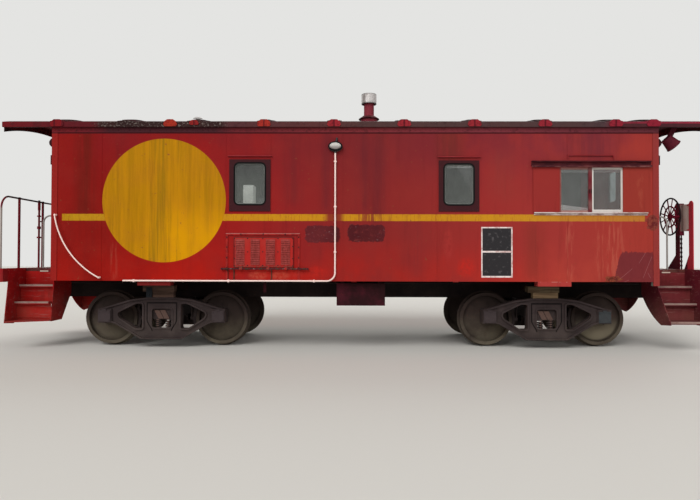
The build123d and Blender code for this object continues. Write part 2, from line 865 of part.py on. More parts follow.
with BuildPart() as side_lamp:
    with BuildSketch(Plane(origin=(conduit_x, -side_y, lamp_z), x_dir=(1, 0, 0), z_dir=(0, -1, 0))):
        Ellipse(lamp_half_wide, lamp_radius)
    extrude(amount=lamp_out)
    chamfer(side_lamp.edges().group_by(Axis.Y)[0], lamp_bevel)
    rod((conduit_x, conduit_y, lamp_socket), (conduit_x, conduit_y, lamp_z), conduit_radius + 6)
    rod((conduit_x, conduit_y, lamp_z), (conduit_x + lamp_stub_lean, conduit_y, lamp_z + lamp_stub_high),
        lamp_stub_radius)
side_lamp.part.label = "side_lamp"
export_step(side_lamp.part, "parts/side_lamp.step")

# Curved grab rails on the wall beside the steps. The one by the near right-hand steps is gone.
with BuildPart() as grab_rails:
    for side, end in ((-1, -1), (1, -1), (1, 1)):
        rail_y = side * (side_y + proud + grab_out)
        points = [(end * grab_top[0], grab_top[1]), (end * grab_mid[0], grab_mid[1]),
                  (end * grab_foot[0], grab_foot[1])]
        with BuildLine(Plane.XZ.offset(-rail_y)) as grab_line:
            ThreePointArc(*points)
        start = grab_line.line @ 0
        with BuildSketch(Plane(origin=start, z_dir=grab_line.line % 0)):
            Circle(grab_radius)
        sweep()
        for x, z in (points[0], points[2]):
            rod((x, side * (side_y + (proud if z > grab_foot[1] + 10 else 0)), z),
                (x, rail_y, z), grab_radius + 4)
grab_rails.part.label = "grab_rails"
export_step(grab_rails.part, "parts/grab_rails.step")

# Platforms: a deck between the step wells, a strip beside each well, and the end beam
with BuildPart() as platform_decks:
    for end in (-1, 1):
        block(end * body_half, end * deck_end, -well_back, well_back, floor_low, floor_top)
        for side in (-1, 1):
            block(end * body_half, end * well_inner, side * (well_back + seat_gap), side * side_y,
                  floor_low, floor_top)
platform_decks.part.label = "platform_decks"
export_step(platform_decks.part, "parts/platform_decks.step")

coupler_pocket_low = coupler_z - coupler_shank / 2 - seat_gap
with BuildPart() as end_beams:
    for end in (-1, 1):
        block(end * deck_end, end * beam_end, -side_y, side_y, beam_low, floor_top)
        block(end * deck_end, end * (beam_end - step_plate), -well_back + step_plate,
              well_back - step_plate, beam_low + step_plate, floor_top - step_plate, mode=Mode.SUBTRACT)
        striker_face = end * (beam_end + striker_thick)
        block(end * deck_end, striker_face, -center_half, center_half, center_low, beam_low)
        block(end * deck_end, striker_face, -coupler_shank / 2 - pocket_side,
              coupler_shank / 2 + pocket_side, coupler_pocket_low,
              coupler_z + coupler_shank / 2 + pocket_rise, mode=Mode.SUBTRACT)
end_beams.part.label = "end_beams"
export_step(end_beams.part, "parts/end_beams.step")

# Steps: side plates swept back under the platform, three treads and three risers in each well.
# The near left-hand ones are bent, so their places come from the second table.
step_treads_z = [step_low + 50 + step_rise * number for number in range(step_count)]
outer_plate_x = well_outer - step_outer_inset
bent_corner = (-1, -1)
with BuildPart() as step_sides:
    for end in (-1, 1):
        for side in (-1, 1):
            for plate_x, front_top in ((well_inner, inner_front_top), (outer_plate_x, outer_front_top)):
                bent = (end, side) == bent_corner
                set_back = bent and plate_x == well_inner
                front_low = bent_outer_low if bent else side_y
                tail_y, tail_z = step_tail_y, step_tail_z
                if set_back:
                    front_top, front_low = bent_front_top, bent_front_low
                    tail_y, tail_z = bent_tail_y, bent_tail_z
                with BuildSketch(Plane.YZ.offset(end * plate_x)):
                    with BuildLine():
                        Polyline((side * tail_y, tail_z), (side * tail_y, floor_low),
                                 (side * (well_back - seat_gap), floor_low),
                                 (side * (well_back + seat_gap), floor_low),
                                 (side * (well_back + seat_gap), floor_top),
                                 (side * front_top, floor_top), (side * front_top, step_knee_z),
                                 (side * front_low, step_low + 20), (side * front_low, step_low))
                        if set_back:
                            Polyline((side * front_low, step_low), (side * bent_heel_y, step_low),
                                     (side * tail_y, tail_z))
                        else:
                            toe = (side * step_arc[0], step_low - step_toe)
                            Line((side * front_low, step_low), toe)
                            ThreePointArc(toe, (side * step_arc[1], step_arc[2]),
                                          (side * tail_y, tail_z))
                    make_face()
                extrude(amount=end * step_plate)
step_sides.part.label = "step_sides"
export_step(step_sides.part, "parts/step_sides.step")

tread_from = well_inner + step_plate
tread_to = outer_plate_x
with BuildPart() as step_treads:
    for end in (-1, 1):
        for side in (-1, 1):
            noses = step_noses
            backs = step_backs
            heights = step_treads_z
            if (end, side) == bent_corner:
                noses = bent_noses
                backs = step_backs[1:]
                heights = step_treads_z[1:]
                with BuildSketch(Plane.XY.offset(bent_tread_low)):
                    with BuildLine():
                        Polyline((end * tread_from, side * step_backs[0]),
                                 (end * tread_to, side * step_backs[0]),
                                 (end * tread_to, side * bent_outer_low),
                                 (end * tread_from, side * bent_tread_inner), close=True)
                    make_face()
                extrude(amount=bent_tread_high - bent_tread_low)
            for z, nose, back in zip(heights, noses, backs):
                block(end * tread_from, end * tread_to, side * nose, side * back, z - tread_thick, z)
step_treads.part.label = "step_treads"
export_step(step_treads.part, "parts/step_treads.step")

with BuildPart() as step_risers:
    riser_tops = [z - tread_thick for z in step_treads_z[1:]] + [floor_low]
    for end in (-1, 1):
        for side in (-1, 1):
            for z, top, back in zip(step_treads_z, riser_tops, step_backs):
                low = z
                if (end, side) == bent_corner and z == step_treads_z[0]:
                    low = bent_tread_high
                    block(end * tread_from, end * tread_to, side * (back + riser_thick),
                          side * bent_lip_y, bent_lip_low, bent_lip_high)
                block(end * tread_from, end * tread_to, side * back, side * (back + riser_thick), low, top)
step_risers.part.label = "step_risers"
export_step(step_risers.part, "parts/step_risers.step")

# End railings: the left-hand one whole, the right-hand one only beyond the hand brake
with BuildPart() as end_railing_left:
    with BuildLine(Plane.YZ.offset(-rail_x)):
        FilletPolyline((-rail_corner_y, floor_top), (-rail_corner_y, rail_top),
                       (rail_corner_y, rail_top), (rail_corner_y, floor_top), radius=rail_bend)
    with BuildSketch(Plane(origin=(-rail_x, -rail_corner_y, floor_top), z_dir=(0, 0, 1))):
        Circle(rail_radius)
    sweep()
    for y in rail_posts:
        for side in (-1, 1):
            rod((-rail_x, side * y, floor_top), (-rail_x, side * y, rail_top + rail_post_over),
                rail_post_radius)
    rod((-rail_x, valve_pipe_y, floor_top), (-rail_x, valve_pipe_y, rail_top + valve_pipe_over),
        valve_pipe_radius)
    for z, half_high, bulge in valve_pipe_knobs:
        rod((-rail_x, valve_pipe_y, z - half_high), (-rail_x, valve_pipe_y, z + half_high), bulge)
    rod((-rail_x, valve_pipe_y, valve_link_z), (-rail_x, -rail_posts[1], valve_link_z),
        valve_link_radius)
end_railing_left.part.label = "end_railing_left"
export_step(end_railing_left.part, "parts/end_railing_left.step")

with BuildPart() as end_railing_right:
    with BuildLine(Plane.YZ.offset(rail_x)):
        FilletPolyline((rail_posts[1], floor_top), (rail_posts[1], rail_top),
                       (rail_corner_y, rail_top), (rail_corner_y, floor_top), radius=rail_bend)
    with BuildSketch(Plane(origin=(rail_x, rail_posts[1], floor_top), z_dir=(0, 0, 1))):
        Circle(rail_radius)
    sweep()
    rod((rail_x, rail_posts[0], floor_top), (rail_x, rail_posts[0], rail_top + rail_post_over),
        rail_post_radius)
end_railing_right.part.label = "end_railing_right"
export_step(end_railing_right.part, "parts/end_railing_right.step")

# Hand rails between the wells and the body, from the deck to the end wall
with BuildPart() as hand_rails:
    for end in (-1, 1):
        for side in (-1, 1):
            with BuildLine(Plane.XZ.offset(-side * hand_rail_y)):
                FilletPolyline((end * hand_rail_x, floor_top), (end * hand_rail_x, hand_rail_top),
                               (end * body_half, hand_rail_top), radius=hand_rail_bend)
            with BuildSketch(Plane(origin=(end * hand_rail_x, side * hand_rail_y, floor_top),
                                   z_dir=(0, 0, 1))):
                Circle(hand_rail_radius)
            sweep()
hand_rails.part.label = "hand_rails"
export_step(hand_rails.part, "parts/hand_rails.step")

# Hand brake: two flared plate posts, the gear case between them, its canister and the chain rod
gear_face = rail_x - brake_post_thick / 2
gear_front = gear_face - gear_deep
with BuildPart() as brake_stand:
    half = brake_post_wide / 2
    for y, foot in zip(brake_post_y, brake_post_foot):
        with BuildSketch(Plane.YZ.offset(rail_x)):
            with BuildLine():
                Polyline((y - half, floor_top), (y - half, brake_post_top - brake_post_cut),
                         (y - brake_post_tip, brake_post_top), (y + brake_post_tip, brake_post_top),
                         (y + half, brake_post_top - brake_post_cut),
                         (y + half, floor_top + brake_post_knee), (y - half + foot, floor_top),
                         close=True)
            make_face()
        extrude(amount=brake_post_thick / 2, both=True)
    block(gear_front, gear_face, gear_y[0], gear_y[1], gear_low, gear_high)
    rod((rail_x, canister_y, canister_low), (rail_x, canister_y, canister_high), canister_radius)
    for z in (canister_low, canister_high - brace_strap_high):
        block(gear_face, rail_x, brake_post_y[0] - half, brake_post_y[1] + half, z, z + brace_strap_high)
    rod((chain_x, chain_y, floor_top), (chain_x, chain_y, gear_low), chain_radius)
brake_stand.part.label = "brake_stand"
export_step(brake_stand.part, "parts/brake_stand.step")

rim_reach = brake_wheel_radius - brake_wheel_rim
wheel_hub = (brake_wheel_x, brake_wheel_y, brake_wheel_z)
hub_face = (brake_wheel_x - brake_hub_half, brake_wheel_y, brake_wheel_z)
with BuildPart() as brake_wheel:
    with BuildSketch(Plane(origin=wheel_hub, x_dir=(0, 1, 0), z_dir=(0, 0, 1))):
        with Locations((rim_reach, 0)):
            RegularPolygon(brake_wheel_rim, 8)
    revolve(axis=Axis(wheel_hub, (1, 0, 0)))
    rod(hub_face, (gear_front, brake_wheel_y, brake_wheel_z), brake_shaft_radius)
    rod(hub_face, (brake_wheel_x + brake_hub_half, brake_wheel_y, brake_wheel_z), brake_hub_radius)
    for number in range(brake_wheel_spokes):
        angle = 2 * math.pi * (number + 0.25) / brake_wheel_spokes
        ends = [(brake_wheel_x, brake_wheel_y + reach * math.cos(angle),
                 brake_wheel_z + reach * math.sin(angle)) for reach in (brake_hub_radius - 8, rim_reach)]
        rod(ends[0], ends[1], brake_wheel_spoke)
brake_wheel.part.label = "brake_wheel"
export_step(brake_wheel.part, "parts/brake_wheel.step")

# Lamp bases high on the end walls, marker brackets at their corners, and the lamp at the right
with BuildPart() as end_fittings:
    for end in (-1, 1):
        with BuildSketch(Plane.YZ.offset(end * body_half)):
            with Locations((lamp_base_y, lamp_base_z)):
                Circle(lamp_base_radius)
        extrude(amount=end * lamp_base_deep)
    chamfer([end_fittings.edges().sort_by(Axis.X)[0], end_fittings.edges().sort_by(Axis.X)[-1]],
            lamp_base_round)
    for end in (-1, 1):
        for side in (-1, 1):
            block(end * body_half, end * (body_half + marker_thick), side * (side_y - marker_inset[0]),
                  side * (side_y - marker_inset[1]), marker_low, marker_high)
end_fittings.part.label = "end_fittings"
export_step(end_fittings.part, "parts/end_fittings.step")

# The lamp is a bell that leans outward, on an arm from the lamp base and a strap from the roof
lamp_middle = Vector(end_lamp_x, lamp_base_y, end_lamp_z)
lamp_aim = Vector(1, 0, -1).normalized()
with BuildPart() as end_lamp:
    with BuildSketch(Plane(origin=lamp_middle, x_dir=lamp_aim, z_dir=(0, 1, 0))):
        with BuildLine():
            half = end_lamp_long / 2
            Polyline((-half, 0), (-half, end_lamp_back), (half - end_lamp_rim, end_lamp_radius - 6),
                     (half - end_lamp_rim, end_lamp_radius), (half, end_lamp_radius), (half, 0),
                     close=True)
        make_face()
    revolve(axis=Axis(lamp_middle, lamp_aim))
    rod((body_half + lamp_base_deep, lamp_base_y, end_lamp_z), (end_lamp_x, lamp_base_y, end_lamp_z),
        end_lamp_strap)
    roof_over = arc_z(under_radius, lamp_base_y - end_lamp_strap) - seat_gap
    with BuildSketch(Plane(origin=(0, lamp_base_y, 0), x_dir=(1, 0, 0), z_dir=(0, -1, 0))):
        with BuildLine():
            wide = 3 * end_lamp_strap
            Polyline((end_lamp_foot - wide, end_lamp_z), (end_lamp_foot + wide, end_lamp_z),
                     (end_lamp_hanger_x + wide, roof_over), (end_lamp_hanger_x - wide, roof_over),
                     close=True)
        make_face()
    extrude(amount=end_lamp_strap / 2, both=True)
end_lamp.part.label = "end_lamp"
export_step(end_lamp.part, "parts/end_lamp.step")

# Couplers: a shank in the striker and a head with its guard arm and knuckle, in plan
head_back = beam_end + coupler_back
tip = coupler_face - head_back
nose_outline = [(tip + x, y) for x, y in knuckle_nose]
with BuildPart() as couplers:
    for end in (-1, 1):
        block(end * (deck_end - coupler_root), end * (head_back + 10), -coupler_shank / 2,
              coupler_shank / 2, coupler_z - coupler_shank / 2, coupler_z + coupler_shank / 2)
        for outline, half_high in ((coupler_outline, coupler_head_half),
                                   (list(knuckle_back) + nose_outline, coupler_knuckle_half)):
            with BuildSketch(Plane.XY.offset(coupler_z - half_high)):
                with BuildLine():
                    Polyline(*[(end * (head_back + x), end * y) for x, y in outline], close=True)
                make_face()
            extrude(amount=2 * half_high)
couplers.part.label = "couplers"
export_step(couplers.part, "parts/couplers.step")

# Air brake gear under the floor
cover_end = cylinder_right + cylinder_cover
with BuildPart() as brake_cylinder:
    rod((cylinder_left, cylinder_y, cylinder_z), (cylinder_right, cylinder_y, cylinder_z),
        cylinder_radius)
    rod((cylinder_right, cylinder_y, cylinder_z), (cover_end, cylinder_y, cylinder_z),
        cylinder_radius + 16)
    rod((cover_end, cylinder_y, cylinder_z), (cylinder_rod_end, cylinder_y, cylinder_z), 26)
    for x in (cylinder_left + strap_half, cylinder_right - strap_inset):
        block(x, x + strap_wide, cylinder_y - strap_half, cylinder_y + strap_half,
              cylinder_z + cylinder_radius - strap_sink, floor_low)
brake_cylinder.part.label = "brake_cylinder"
export_step(brake_cylinder.part, "parts/brake_cylinder.step")

with BuildPart() as air_reservoir:
    rod((reservoir_left, reservoir_y, reservoir_z), (reservoir_right, reservoir_y, reservoir_z),
        reservoir_radius)
    chamfer(air_reservoir.edges().filter_by(GeomType.CIRCLE), reservoir_bevel)
    for x in (reservoir_left + strap_inset + strap_wide, reservoir_right - strap_inset - 2 * strap_wide):
        block(x, x + strap_wide, reservoir_y - strap_half, reservoir_y + strap_half,
              reservoir_z + reservoir_radius - strap_sink, floor_low)
air_reservoir.part.label = "air_reservoir"
export_step(air_reservoir.part, "parts/air_reservoir.step")

with BuildPart() as underfloor_box:
    block(tool_left, tool_right, -tool_front, -tool_back, tool_low, tool_high)
    for x in (tool_left + tool_strap_inset, tool_right - tool_strap_inset - tool_strap):
        for y in (-tool_front + 20, -tool_back - 20 - tool_strap_thick):
            block(x, x + tool_strap, y, y + tool_strap_thick, tool_high, floor_low)
    hanger_y = -inner_y + side_sill_wide
    block(hanger_x - hanger_half, hanger_x + hanger_half, hanger_y, hanger_y + tool_strap_thick,
          hanger_low, floor_low)
underfloor_box.part.label = "underfloor_box"
export_step(underfloor_box.part, "parts/underfloor_box.step")

# Train pipe from end to end, held under each end beam, with the open socket of its angle cock
with BuildPart() as brake_pipe:
    rod((-pipe_end + 100, pipe_y, pipe_z), (pipe_end - 100, pipe_y, pipe_z), pipe_radius)
    for end in (-1, 1):
        rod((end * (pipe_end - 110), pipe_y, pipe_z), (end * pipe_end, pipe_y, pipe_z), pipe_radius + 14)
        rod((end * (pipe_end - socket_deep), pipe_y, pipe_z), (end * pipe_end, pipe_y, pipe_z),
            pipe_radius, mode=Mode.SUBTRACT)
        block(end * (beam_end - 55), end * (beam_end - 15), pipe_y - 30, pipe_y + 30, pipe_z, beam_low)
        block(end * (pipe_end - 80), end * (pipe_end - 64), pipe_y - 8, pipe_y + 8, pipe_z,
              pipe_z + 70)
brake_pipe.part.label = "brake_pipe"
export_step(brake_pipe.part, "parts/brake_pipe.step")

# White cupboard inside the far wall, seen through the left-hand window
with BuildPart() as cabinet:
    block(cabinet_left, cabinet_right, inner_y - cabinet_deep, inner_y, floor_top, cabinet_top)
    cabinet_middle = (cabinet_left + cabinet_right) / 2
    for left, right in ((cabinet_left + cabinet_edge, cabinet_middle - cabinet_edge / 2),
                        (cabinet_middle + cabinet_edge / 2, cabinet_right - cabinet_edge)):
        block(left, right, inner_y - cabinet_deep - cabinet_door_thick, inner_y - cabinet_deep,
              cabinet_door_low, cabinet_top - cabinet_edge)
cabinet.part.label = "cabinet"
export_step(cabinet.part, "parts/cabinet.step")

# Trucks. The side frame's outline and windows are given for x from the truck's middle, one half.
frame_top = [(209, 787), (489, 752), (997, 600), (997, box_low), (781, box_low), (722, 374),
             (318, 136)]
frame_outline = frame_top + [(-x, z) for x, z in reversed(frame_top)]
bolster_window = [(-window_half, window_high), (window_half, window_high),
                  (window_half, window_knee), (window_foot, window_low), (-window_foot, window_low),
                  (-window_half, window_knee)]
side_window = [(302, 690), (400, 690), (676, 555), (690, 515), (664, 468), (410, 300), (302, 300)]
for truck_place, truck_side in ((-truck_x, "left"), (truck_x, "right")):
    with BuildPart() as side_frames:
        for side in (-1, 1):
            inside = Plane(origin=(truck_place, side * frame_inner, 0), x_dir=(1, 0, 0),
                           z_dir=(0, -1, 0))
            outside = Plane(origin=(truck_place, side * (frame_outer - frame_flange), 0),
                            x_dir=(1, 0, 0), z_dir=(0, -1, 0))
            # The cast plate with its two side windows and the square bolster window
            with BuildSketch(inside):
                with BuildLine():
                    Polyline(*frame_outline, close=True)
                make_face()
                for turn in (-1, 1):
                    with BuildLine():
                        FilletPolyline(*[(turn * x, z) for x, z in side_window], radius=26, close=True)
                    make_face(mode=Mode.SUBTRACT)
                with BuildLine():
                    Polyline(*bolster_window, close=True)
                make_face(mode=Mode.SUBTRACT)
            extrude(amount=-side * (frame_outer - frame_flange - frame_inner))
            # Raised flanges along the outline and round the windows
            with BuildSketch(outside):
                with BuildLine():
                    Polyline(*frame_outline, close=True)
                make_face()
                offset(amount=-frame_bead, kind=Kind.INTERSECTION, mode=Mode.SUBTRACT)
            extrude(amount=-side * frame_flange)
            for turn in (-1, 1):
                window = [(turn * x, z) for x, z in side_window]
                with BuildSketch(outside):
                    with BuildLine():
                        FilletPolyline(*window, radius=26, close=True)
                    make_face()
                    offset(amount=frame_bead, mode=Mode.REPLACE)
                    with BuildLine():
                        FilletPolyline(*window, radius=26, close=True)
                    make_face(mode=Mode.SUBTRACT)
                extrude(amount=-side * (frame_flange - 6))
            # The plate in the bolster window, with its round-cornered hole
            with BuildSketch(outside):
                with BuildLine():
                    Polyline(*bolster_window, close=True)
                make_face()
                with Locations((0, (hole_low + hole_high) / 2)):
                    RectangleRounded(2 * hole_half, hole_high - hole_low, 45, mode=Mode.SUBTRACT)
            extrude(amount=side * ring_plate)
            with BuildSketch(outside):
                with Locations((0, (hole_low + hole_high) / 2)):
                    RectangleRounded(2 * hole_half + 2 * frame_bead, hole_high - hole_low + 2 * frame_bead,
                                     45 + frame_bead)
                    RectangleRounded(2 * hole_half, hole_high - hole_low, 45, mode=Mode.SUBTRACT)
            extrude(amount=-side * 12)
            # Journal boxes with their lids, bored for the axle ends
            for turn in (-1, 1):
                box_x = truck_place + turn * wheel_base / 2
                block(box_x - box_half, box_x + box_half, side * box_inner, side * frame_outer,
                      box_low, box_high)
                block(box_x - box_half + 14, box_x + box_half - 14, side * frame_outer,
                      side * (frame_outer + 16), box_low + 16, box_high - 26)
                block(box_x - 30, box_x + 30, side * frame_outer, side * (frame_outer + 24),
                      box_high - 36, box_high - 8)
                rod((box_x, side * box_inner, axle_z), (box_x, side * (journal_end + 5), axle_z),
                    journal_radius + journal_fit, mode=Mode.SUBTRACT)
    side_frames.part.label = f"truck_{truck_side}_side_frames"
    export_step(side_frames.part, f"parts/truck_{truck_side}_side_frames.step")

    with BuildPart() as truck_bolster:
        beam_y = frame_outer - frame_flange - ring_plate - bolster_inset
        block(truck_place - bolster_beam_half, truck_place + bolster_beam_half, -beam_y, beam_y,
              bolster_beam_low, bolster_beam_high)
        with BuildSketch(Plane.XY.offset(bolster_beam_high)):
            with Locations((truck_place, 0)):
                Circle(center_plate_radius + 15)
        extrude(amount=center_plate_z - seat_gap - bolster_beam_high)
        for side in (-1, 1):
            block(truck_place - 60, truck_place + 60, side * 590, side * 690, bolster_beam_high,
                  bolster_beam_high + 45)
            with BuildSketch(Plane(origin=(truck_place, side * beam_y, 0), x_dir=(1, 0, 0),
                                   z_dir=(0, -1, 0))):
                for number in range(2):
                    gib_x = gib_left + gib_pitch * number
                    with BuildLine():
                        Polyline((gib_x, gib_high), (gib_x + gib_wide, gib_high),
                                 (gib_x + gib_wide + gib_lean, gib_low), (gib_x + gib_lean, gib_low),
                                 close=True)
                    make_face()
            extrude(amount=-side * gib_thick)
    truck_bolster.part.label = f"truck_{truck_side}_bolster"
    export_step(truck_bolster.part, f"parts/truck_{truck_side}_bolster.step")

    with BuildPart() as springs:
        spring_y = (frame_inner + beam_y) / 2
        for side in (-1, 1):
            for turn in (-1, 1):
                x = truck_place + turn * spring_x
                rod((x, side * spring_y, window_low), (x, side * spring_y, bolster_beam_low),
                    spring_radius)
    springs.part.label = f"truck_{truck_side}_springs"
    export_step(springs.part, f"parts/truck_{truck_side}_springs.step")

    # Brake beams between the wheels, each with two shoes on its hangers
    with BuildPart() as brake_beams:
        for turn in (-1, 1):
            wheel_x = truck_place + turn * wheel_base / 2
            beam_x = wheel_x - turn * (wheel_radius + shoe_gap + shoe_thick)
            block(beam_x, beam_x - turn * 52, -shoe_y[1], shoe_y[1], axle_z - 30, axle_z + 16)
            for side in (-1, 1):
                with BuildSketch(Plane(origin=(wheel_x, side * shoe_y[0], axle_z), x_dir=(1, 0, 0),
                                       z_dir=(0, -1, 0))):
                    shoe_inner = wheel_radius + shoe_gap
                    shoe_outer = shoe_inner + shoe_thick + 6
                    angle = math.radians(shoe_angle)
                    inner_low = (-turn * shoe_inner * math.cos(angle), -shoe_inner * math.sin(angle))
                    inner_high = (inner_low[0], -inner_low[1])
                    outer_low = (-turn * shoe_outer * math.cos(angle), -shoe_outer * math.sin(angle))
                    outer_high = (outer_low[0], -outer_low[1])
                    with BuildLine():
                        ThreePointArc(inner_low, (-turn * shoe_inner, 0), inner_high)
                        Line(inner_high, outer_high)
                        ThreePointArc(outer_high, (-turn * shoe_outer, 0), outer_low)
                        Line(outer_low, inner_low)
                    make_face()
                extrude(amount=-side * (shoe_y[1] - shoe_y[0]))
                hanger_from = beam_x - turn * 20
                block(hanger_from, hanger_from - turn * 20, side * (shoe_y[1] - 20), side * shoe_y[1],
                      axle_z, hanger_top)
                block(hanger_from, hanger_from - turn * 20, side * (shoe_y[1] - 20), side * frame_inner,
                      hanger_top - 24, hanger_top)
    brake_beams.part.label = f"truck_{truck_side}_brake_beams"
    export_step(brake_beams.part, f"parts/truck_{truck_side}_brake_beams.step")

    # Wood blocks stacked on each side frame
    with BuildPart() as wood_blocks:
        for side in (-1, 1):
            block(truck_place + block_low_x[0], truck_place + block_low_x[1], side * block_y[0],
                  side * block_y[1], frame_top[0][1], block_middle)
            block(truck_place + block_high_x[0], truck_place + block_high_x[1], side * (block_y[0] - 15),
                  side * (block_y[1] + 20), block_middle, block_top)
    wood_blocks.part.label = f"truck_{truck_side}_blocks"
    export_step(wood_blocks.part, f"parts/truck_{truck_side}_blocks.step")

    # Wheelsets: an axle with both wheels pressed on, turned in one piece
    for turn, place in ((-1, "outer" if truck_place < 0 else "inner"),
                        (1, "inner" if truck_place < 0 else "outer")):
        wheel_x = truck_place + turn * wheel_base / 2
        rim_outer = wheel_inner + wheel_wide
        hub_inner = wheel_inner - hub_lead
        hub_outer = rim_outer + hub_proud
        plate_inner = wheel_inner + plate_set
        half = [(hub_inner, axle_radius), (hub_inner, hub_radius), (plate_inner, rim_bore),
                (wheel_inner, rim_bore), (wheel_inner, flange_radius - flange_round),
                (wheel_inner + flange_round, flange_radius),
                (wheel_inner + flange_wide - flange_round, flange_radius),
                (wheel_inner + flange_wide, wheel_radius), (rim_outer, wheel_radius - tread_drop),
                (rim_outer, rim_bore), (plate_inner + plate_web, rim_bore), (hub_outer, hub_radius),
                (hub_outer, seat_radius), (box_inner - box_clear, seat_radius),
                (box_inner - box_clear, journal_radius), (journal_end, journal_radius),
                (journal_end, 0)]
        with BuildPart() as wheelset:
            with BuildSketch(Plane(origin=(wheel_x, 0, axle_z), x_dir=(0, 1, 0), z_dir=(1, 0, 0))):
                with BuildLine():
                    Polyline(*half, *[(-y, radius) for y, radius in reversed(half)][1:], close=True)
                make_face()
            revolve(axis=Axis((wheel_x, 0, axle_z), (0, 1, 0)))
        wheelset.part.label = f"wheelset_{truck_side}_{place}"
        export_step(wheelset.part, f"parts/wheelset_{truck_side}_{place}.step")
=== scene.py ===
import math

import bmesh
import bpy
from mathutils import Matrix, Vector


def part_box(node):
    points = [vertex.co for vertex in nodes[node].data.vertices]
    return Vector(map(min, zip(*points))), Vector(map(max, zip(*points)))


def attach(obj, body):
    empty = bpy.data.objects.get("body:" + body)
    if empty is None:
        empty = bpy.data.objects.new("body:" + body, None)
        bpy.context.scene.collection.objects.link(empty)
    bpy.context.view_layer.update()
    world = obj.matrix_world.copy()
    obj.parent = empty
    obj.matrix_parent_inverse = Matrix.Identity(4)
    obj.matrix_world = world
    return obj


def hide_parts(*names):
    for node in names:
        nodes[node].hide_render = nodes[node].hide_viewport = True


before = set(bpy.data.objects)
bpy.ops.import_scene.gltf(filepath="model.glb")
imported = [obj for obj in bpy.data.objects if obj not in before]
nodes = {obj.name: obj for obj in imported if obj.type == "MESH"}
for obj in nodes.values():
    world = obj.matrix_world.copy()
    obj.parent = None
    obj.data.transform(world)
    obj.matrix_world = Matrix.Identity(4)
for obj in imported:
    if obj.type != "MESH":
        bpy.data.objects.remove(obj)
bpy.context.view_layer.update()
print("stage: frame loaded,", len(nodes), "CAD nodes")


# Colours are written as on a colour chart and turned into the shader's linear values
def shade(code):
    channels = [int(code[place:place + 2], 16) / 255 for place in (0, 2, 4)]
    linear = [((c + 0.055) / 1.055) ** 2.4 if c > 0.04045 else c / 12.92 for c in channels]
    return (*linear, 1.0)


